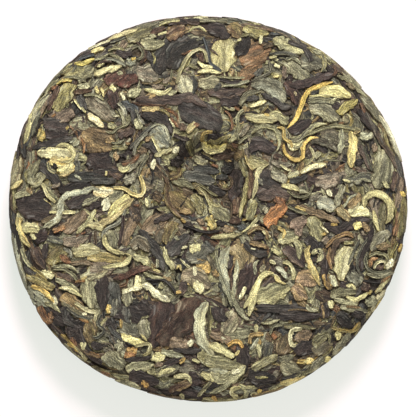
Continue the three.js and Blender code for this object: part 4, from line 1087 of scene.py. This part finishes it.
def noiseNode(tree, vector, scale, detail, roughness):
    node = tree.nodes.new("ShaderNodeTexNoise")
    tree.links.new(vector, node.inputs["Vector"])
    tree.links.new(scale, node.inputs["Scale"])
    node.inputs["Detail"].default_value = detail
    node.inputs["Roughness"].default_value = roughness
    return node.outputs["Fac"]


# veins and creases that run along a leaf: uv in centimetres along and across it; the crests carry painted
# highlights, partly paler fibres, and the cracks painted crease shade, partly dark crack lines
grainLook = {
    "drawOut": 0.1,  # the width of a vein over its length
    "fineScale": 1,
    "fineNoise": (3, 0.65),  # detail and roughness
    "streaks": (0.38, 0.62),
    # the crests, at the peaks of the fine veins where the relief is highest: painted highlights, partly
    # paler fibres
    "crests": (0.56, 0.7),
    "coarseScale": 0.35,
    "coarseNoise": (2, 0.5),
    "creases": (0.38, 0.62),
    "crackScale": 0.55,
    "crackNoise": (4, 0.6),
    "cracks": (0.045, 0.0),
}


def makeLeafGrain():
    coats = {"Streaks": "fine", "Crests": "fine", "Creases": "coarse", "Cracks": "crack"}
    group, start, end = newGroup("leafGrain", {"Run": "Vector", "Veins": "Float"}, coats)
    veins = start.outputs["Veins"]
    drawn = group.nodes.new("ShaderNodeVectorMath")
    drawn.operation = "MULTIPLY"
    drawn.inputs[1].default_value = (grainLook["drawOut"], 1, 0)
    group.links.new(start.outputs["Run"], drawn.inputs[0])
    noises = {}
    for name in ("fine", "coarse", "crack"):
        scale = mathNode(group, "MULTIPLY", veins, grainLook[name + "Scale"])
        noises[name] = noiseNode(group, drawn.outputs[0], scale, *grainLook[name + "Noise"])
    noises["crack"] = fromMiddle(group, noises["crack"])
    for label, name in coats.items():
        group.links.new(rangeNode(group, noises[name], *grainLook[label.lower()]), end.inputs[label])
    return group


# where a leaf is near its sides and its ends; the side mask is for painted shade along a leaf's sides and
# on its turned-down edges, where it meets the leaves below
edgeLook = {"side": (0.78, 1.0), "ends": (0.34, 0.5)}


def makeLeafEdge():
    group, start, end = newGroup("leafEdge", {"Place": "Color"}, ["Side", "Ends"])
    split = group.nodes.new("ShaderNodeSeparateColor")
    group.links.new(start.outputs["Place"], split.inputs[0])
    group.links.new(rangeNode(group, split.outputs[0], *edgeLook["side"]), end.inputs["Side"])
    along = fromMiddle(group, split.outputs[1])
    group.links.new(rangeNode(group, along, *edgeLook["ends"]), end.inputs["Ends"])
    return group


# patches of dust, bloom and stain that don't follow the leaf
mottleLook = {
    "Patches": {"scale": 1, "noise": (5, 0.65), "range": (0.4, 0.66)},
    "Specks": {"scale": 6.5, "noise": (3, 0.7), "range": (0.4, 0.6)},
    "Stains": {"scale": 2.2, "noise": (4, 0.6), "range": (0.48, 0.64)},
}


def makeDryMottle():
    group, start, end = newGroup("dryMottle", {"Place": "Vector", "Patch scale": "Float"}, mottleLook)
    for label, look in mottleLook.items():
        scale = mathNode(group, "MULTIPLY", start.outputs["Patch scale"], look["scale"])
        noise = noiseNode(group, start.outputs["Place"], scale, *look["noise"])
        group.links.new(rangeNode(group, noise, *look["range"]), end.inputs[label])
    return group


leafGrain, leafEdge, dryMottle = makeLeafGrain(), makeLeafEdge(), makeDryMottle()


def useGroup(tree, group, **values):
    node = tree.nodes.new("ShaderNodeGroup")
    node.node_tree = group
    for label, value in values.items():
        socket = node.inputs[label.replace("_", " ")]
        if isinstance(value, bpy.types.NodeSocket):
            tree.links.new(value, socket)
        else:
            socket.default_value = value
    return node


def newMaterial(name):
    material = bpy.data.materials.new(name)
    material.use_nodes = True
    tree = material.node_tree
    return material, tree, tree.nodes["Principled BSDF"]


def readAttribute(tree, name):
    node = tree.nodes.new("ShaderNodeAttribute")
    node.attribute_name = name
    return node.outputs["Color"]


def addRelief(tree, shader, height, distance):
    relief = tree.nodes.new("ShaderNodeBump")
    relief.inputs["Distance"].default_value = distance * mm
    tree.links.new(height, relief.inputs["Height"])
    tree.links.new(relief.outputs["Normal"], shader.inputs["Normal"])


# what each kind of leaf has of its own: lowest and highest shade of its veins, partly its own streaked
# tone and partly painted shade and highlight of its wrinkles, then its colours, with crest a partly
# painted highlight and cracks the strength of painted crease shade
leafFinishes = {
    "darkLeaves": {"veins": 16, "streaks": (0.48, 1.7), "second": (0.06, 0.045, 0.035),
                   "crest": (0.2, 0.19, 0.17), "bloom": (0.1, 0.085, 0.07), "cracks": 0.5,
                   "rough": (0.5, 0.8), "specular": 0.25, "sheen": 0.0},
    "sageLeaves": {"veins": 16, "streaks": (0.45, 1.45), "second": (0.12, 0.12, 0.09),
                   "crest": (0.58, 0.56, 0.38), "bloom": (0.3, 0.28, 0.18), "cracks": 0.6,
                   "rough": (0.55, 0.85), "specular": 0.2, "sheen": 0.0},
    "strawBuds": {"veins": 14, "streaks": (0.55, 1.22), "second": (0.4, 0.32, 0.14),
                  "crest": (0.84, 0.79, 0.53), "bloom": (0.6, 0.55, 0.34), "cracks": 0.5,
                  "rough": (0.55, 0.85), "specular": 0.2, "sheen": 0.05},
    "goldenStems": {"veins": 16, "streaks": (0.45, 1.3), "second": (0.28, 0.16, 0.05),
                    "crest": (0.92, 0.78, 0.4), "bloom": (0.45, 0.35, 0.14), "cracks": 0.5,
                    "rough": (0.5, 0.8), "specular": 0.25, "sheen": 0.0},
    "brownLeaves": {"veins": 16, "streaks": (0.45, 1.5), "second": (0.07, 0.055, 0.04),
                    "crest": (0.42, 0.35, 0.24), "bloom": (0.22, 0.18, 0.12), "cracks": 0.55,
                    "rough": (0.5, 0.8), "specular": 0.22, "sheen": 0.0},
}
# what all leaves share: how strong each coat of colour is
leafLook = {
    "patchScale": 260.0,
    "fineStreaks": 0.6,
    "creases": 0.4,
    "specks": (0.62, 1.4),
    "stains": 0.35,
    # crests: painted highlight on the tops of the folds, partly paler fibres
    "crests": 0.62,
    "bloom": 0.18,
    # sides and sideShadeColour: painted shade along a leaf's sides and on its turned-down edges
    "sides": 0.78,
    "ends": 0.3,
    # crackShadeColour: painted shade in the creases, partly dark crack lines
    "crackShadeColour": (0.1, 0.07, 0.05),
    "sideShadeColour": (0.28, 0.22, 0.17),
    "endColour": (0.5, 0.38, 0.26),
    "relief": 0.45,  # millimetres
    "speckRelief": 0.35,
}


def leafMaterial(name, finish):
    material, tree, shader = newMaterial(name)
    tone, place = readAttribute(tree, "leafTone"), readAttribute(tree, "leafPlace")
    run = tree.nodes.new("ShaderNodeUVMap")
    run.uv_map = "leafRun"
    spot = tree.nodes.new("ShaderNodeTexCoord").outputs["Object"]
    grain = useGroup(tree, leafGrain, Run=run.outputs[0], Veins=finish["veins"]).outputs
    edge = useGroup(tree, leafEdge, Place=place).outputs
    mottle = useGroup(tree, dryMottle, Place=spot, Patch_scale=leafLook["patchScale"]).outputs
    fine = mathNode(tree, "MULTIPLY", grain["Streaks"], leafLook["fineStreaks"])
    streak = mathNode(tree, "ADD", fine, mathNode(tree, "MULTIPLY", grain["Creases"], leafLook["creases"]))
    # the veins shade the tone: partly the leaf's own streaks, partly painted shade and highlight of its
    # wrinkles, darker where the relief is low and lighter where it is high
    veinAndWrinkleShade = rangeNode(tree, streak, 0.0, 1.0, *finish["streaks"])
    speckShade = rangeNode(tree, mottle["Specks"], 0.0, 1.0, *leafLook["specks"])
    shade = mathNode(tree, "MULTIPLY", veinAndWrinkleShade, speckShade)
    shadeColour = tree.nodes.new("ShaderNodeCombineColor")
    for socket in shadeColour.inputs:
        tree.links.new(shade, socket)
    colour = coat(tree, "MIX", tone, mottle["Stains"], leafLook["stains"], finish["second"])
    colour = mixNode(tree, "MULTIPLY", 1.0, colour, shadeColour.outputs[0])
    # pale crests: painted highlights on the tops of the folds, partly paler fibres
    colour = coat(tree, "MIX", colour, grain["Crests"], leafLook["crests"], finish["crest"])
    colour = coat(tree, "MIX", colour, mottle["Patches"], leafLook["bloom"], finish["bloom"])
    # the cracks: painted shade in the creases, partly dark crack lines
    colour = coat(tree, "MULTIPLY", colour, grain["Cracks"], finish["cracks"], leafLook["crackShadeColour"])
    # painted shade along the sides and the turned-down edges of the leaf
    colour = coat(tree, "MULTIPLY", colour, edge["Side"], leafLook["sides"], leafLook["sideShadeColour"])
    colour = coat(tree, "MULTIPLY", colour, edge["Ends"], leafLook["ends"], leafLook["endColour"])
    tree.links.new(colour, shader.inputs["Base Color"])
    tree.links.new(rangeNode(tree, streak, 0.0, 1.0, *finish["rough"]), shader.inputs["Roughness"])
    speckRelief = mathNode(tree, "MULTIPLY", mottle["Specks"], leafLook["speckRelief"])
    addRelief(tree, shader, mathNode(tree, "ADD", streak, speckRelief), leafLook["relief"])
    shader.inputs["Specular IOR Level"].default_value = finish["specular"]
    shader.inputs["Sheen Weight"].default_value = finish["sheen"]
    return material


bedLook = {
    "patchScale": 420.0,
    "dark": (0.016, 0.012, 0.01),
    "light": (0.045, 0.034, 0.026),
    "speckColour": (0.09, 0.07, 0.045),
    "specks": 0.3,
    "rough": (0.65, 0.9),
    "relief": 0.5,  # millimetres
    "specular": 0.25,
}


def bedMaterial():
    material, tree, shader = newMaterial("teaBed")
    spot = tree.nodes.new("ShaderNodeTexCoord").outputs["Object"]
    mottle = useGroup(tree, dryMottle, Place=spot, Patch_scale=bedLook["patchScale"]).outputs
    colour = mixNode(tree, "MIX", mottle["Patches"], (*bedLook["dark"], 1), (*bedLook["light"], 1))
    colour = coat(tree, "MIX", colour, mottle["Specks"], bedLook["specks"], bedLook["speckColour"])
    tree.links.new(colour, shader.inputs["Base Color"])
    tree.links.new(rangeNode(tree, mottle["Specks"], 0, 1, *bedLook["rough"]), shader.inputs["Roughness"])
    addRelief(tree, shader, mottle["Specks"], bedLook["relief"])
    shader.inputs["Specular IOR Level"].default_value = bedLook["specular"]
    return material


def joinPiece(name, group):
    deselectAll()
    for leaf in group:
        leaf.select_set(True)
    bpy.context.view_layer.objects.active = group[0]
    bpy.ops.object.join()
    piece = bpy.context.object
    piece.name = piece.data.name = name
    piece.data.materials.clear()
    piece.data.materials.append(leafMaterial(name, leafFinishes[name]))
    return piece


pieces = {name: joinPiece(name, group) for name, group in parts.items()}
for name, piece in pieces.items():
    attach(piece, "root")
    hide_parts("tea_cake")
    print("piece", name, len(piece.data.polygons), "faces")
teaBed.data.materials.append(bedMaterial())
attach(teaBed, "root")
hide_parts("tea_cake")
for model in models.values():
    bpy.data.objects.remove(model["object"])

# floor, light and camera: places in metres, the camera's aim in millimetres
stage = {
    "floorSize": 16.0,
    "floorColour": (0.28, 0.206, 0.24, 1),
    "glowColour": (0.917, 0.997, 0.91, 1),
    "floorGlow": 0.7,
    "floorRough": 0.9,
    "floorSpecular": 0.1,
    "worldColour": (1.0, 0.99, 0.985, 1),
    "worldStrength": 0.36,
    "key": {"place": (0.06, 0.85, 0.82), "size": 0.42, "power": 26.6, "colour": (1, 1, 0.975)},
    "fill": {"place": (0.2, -0.85, 1.0), "size": 1.4, "power": 8.6, "colour": (1, 0.99, 0.97)},
}
camera = {
    "elevation": 78.1,
    "distance": 2.5,
    "lens": 432,
    "sensor": 36,
    "aim": (0.25, -2.2, 24.4),
    "clipStart": 0.05,
    "clipEnd": 20,
}


def makeStage():
    deselectAll()
    bpy.ops.mesh.primitive_plane_add(size=stage["floorSize"])
    floor = bpy.context.object
    floor.name = "floor"
    material, _, shader = newMaterial("floor")
    shader.inputs["Base Color"].default_value = stage["floorColour"]
    shader.inputs["Roughness"].default_value = stage["floorRough"]
    shader.inputs["Specular IOR Level"].default_value = stage["floorSpecular"]
    shader.inputs["Emission Color"].default_value = stage["glowColour"]
    shader.inputs["Emission Strength"].default_value = stage["floorGlow"]
    floor.data.materials.append(material)


def makeLight(name, plan):
    bpy.ops.object.light_add(type="AREA", location=plan["place"])
    light = bpy.context.object
    light.name = name
    light.data.size = plan["size"]
    light.data.energy = plan["power"]
    light.data.color = plan["colour"]
    light.rotation_euler = (-Vector(plan["place"])).to_track_quat("-Z", "Y").to_euler()


makeStage()
makeLight("keyLight", stage["key"])
makeLight("fillLight", stage["fill"])
world = bpy.context.scene.world or bpy.data.worlds.new("studio")
bpy.context.scene.world = world
world.use_nodes = True
background = world.node_tree.nodes["Background"]
background.inputs["Color"].default_value = stage["worldColour"]
background.inputs["Strength"].default_value = stage["worldStrength"]
bpy.context.scene.view_settings.view_transform = "Standard"

aim = Vector(camera["aim"]) * mm
tilt = math.radians(camera["elevation"])
back = Vector((0, -math.cos(tilt), math.sin(tilt)))
bpy.ops.object.camera_add(location=aim + back * camera["distance"])
viewer = bpy.context.object
viewer.rotation_euler = (-back).to_track_quat("-Z", "Y").to_euler()
viewer.data.lens = camera["lens"]
viewer.data.sensor_width = camera["sensor"]
viewer.data.clip_start, viewer.data.clip_end = camera["clipStart"], camera["clipEnd"]
bpy.context.scene.camera = viewer
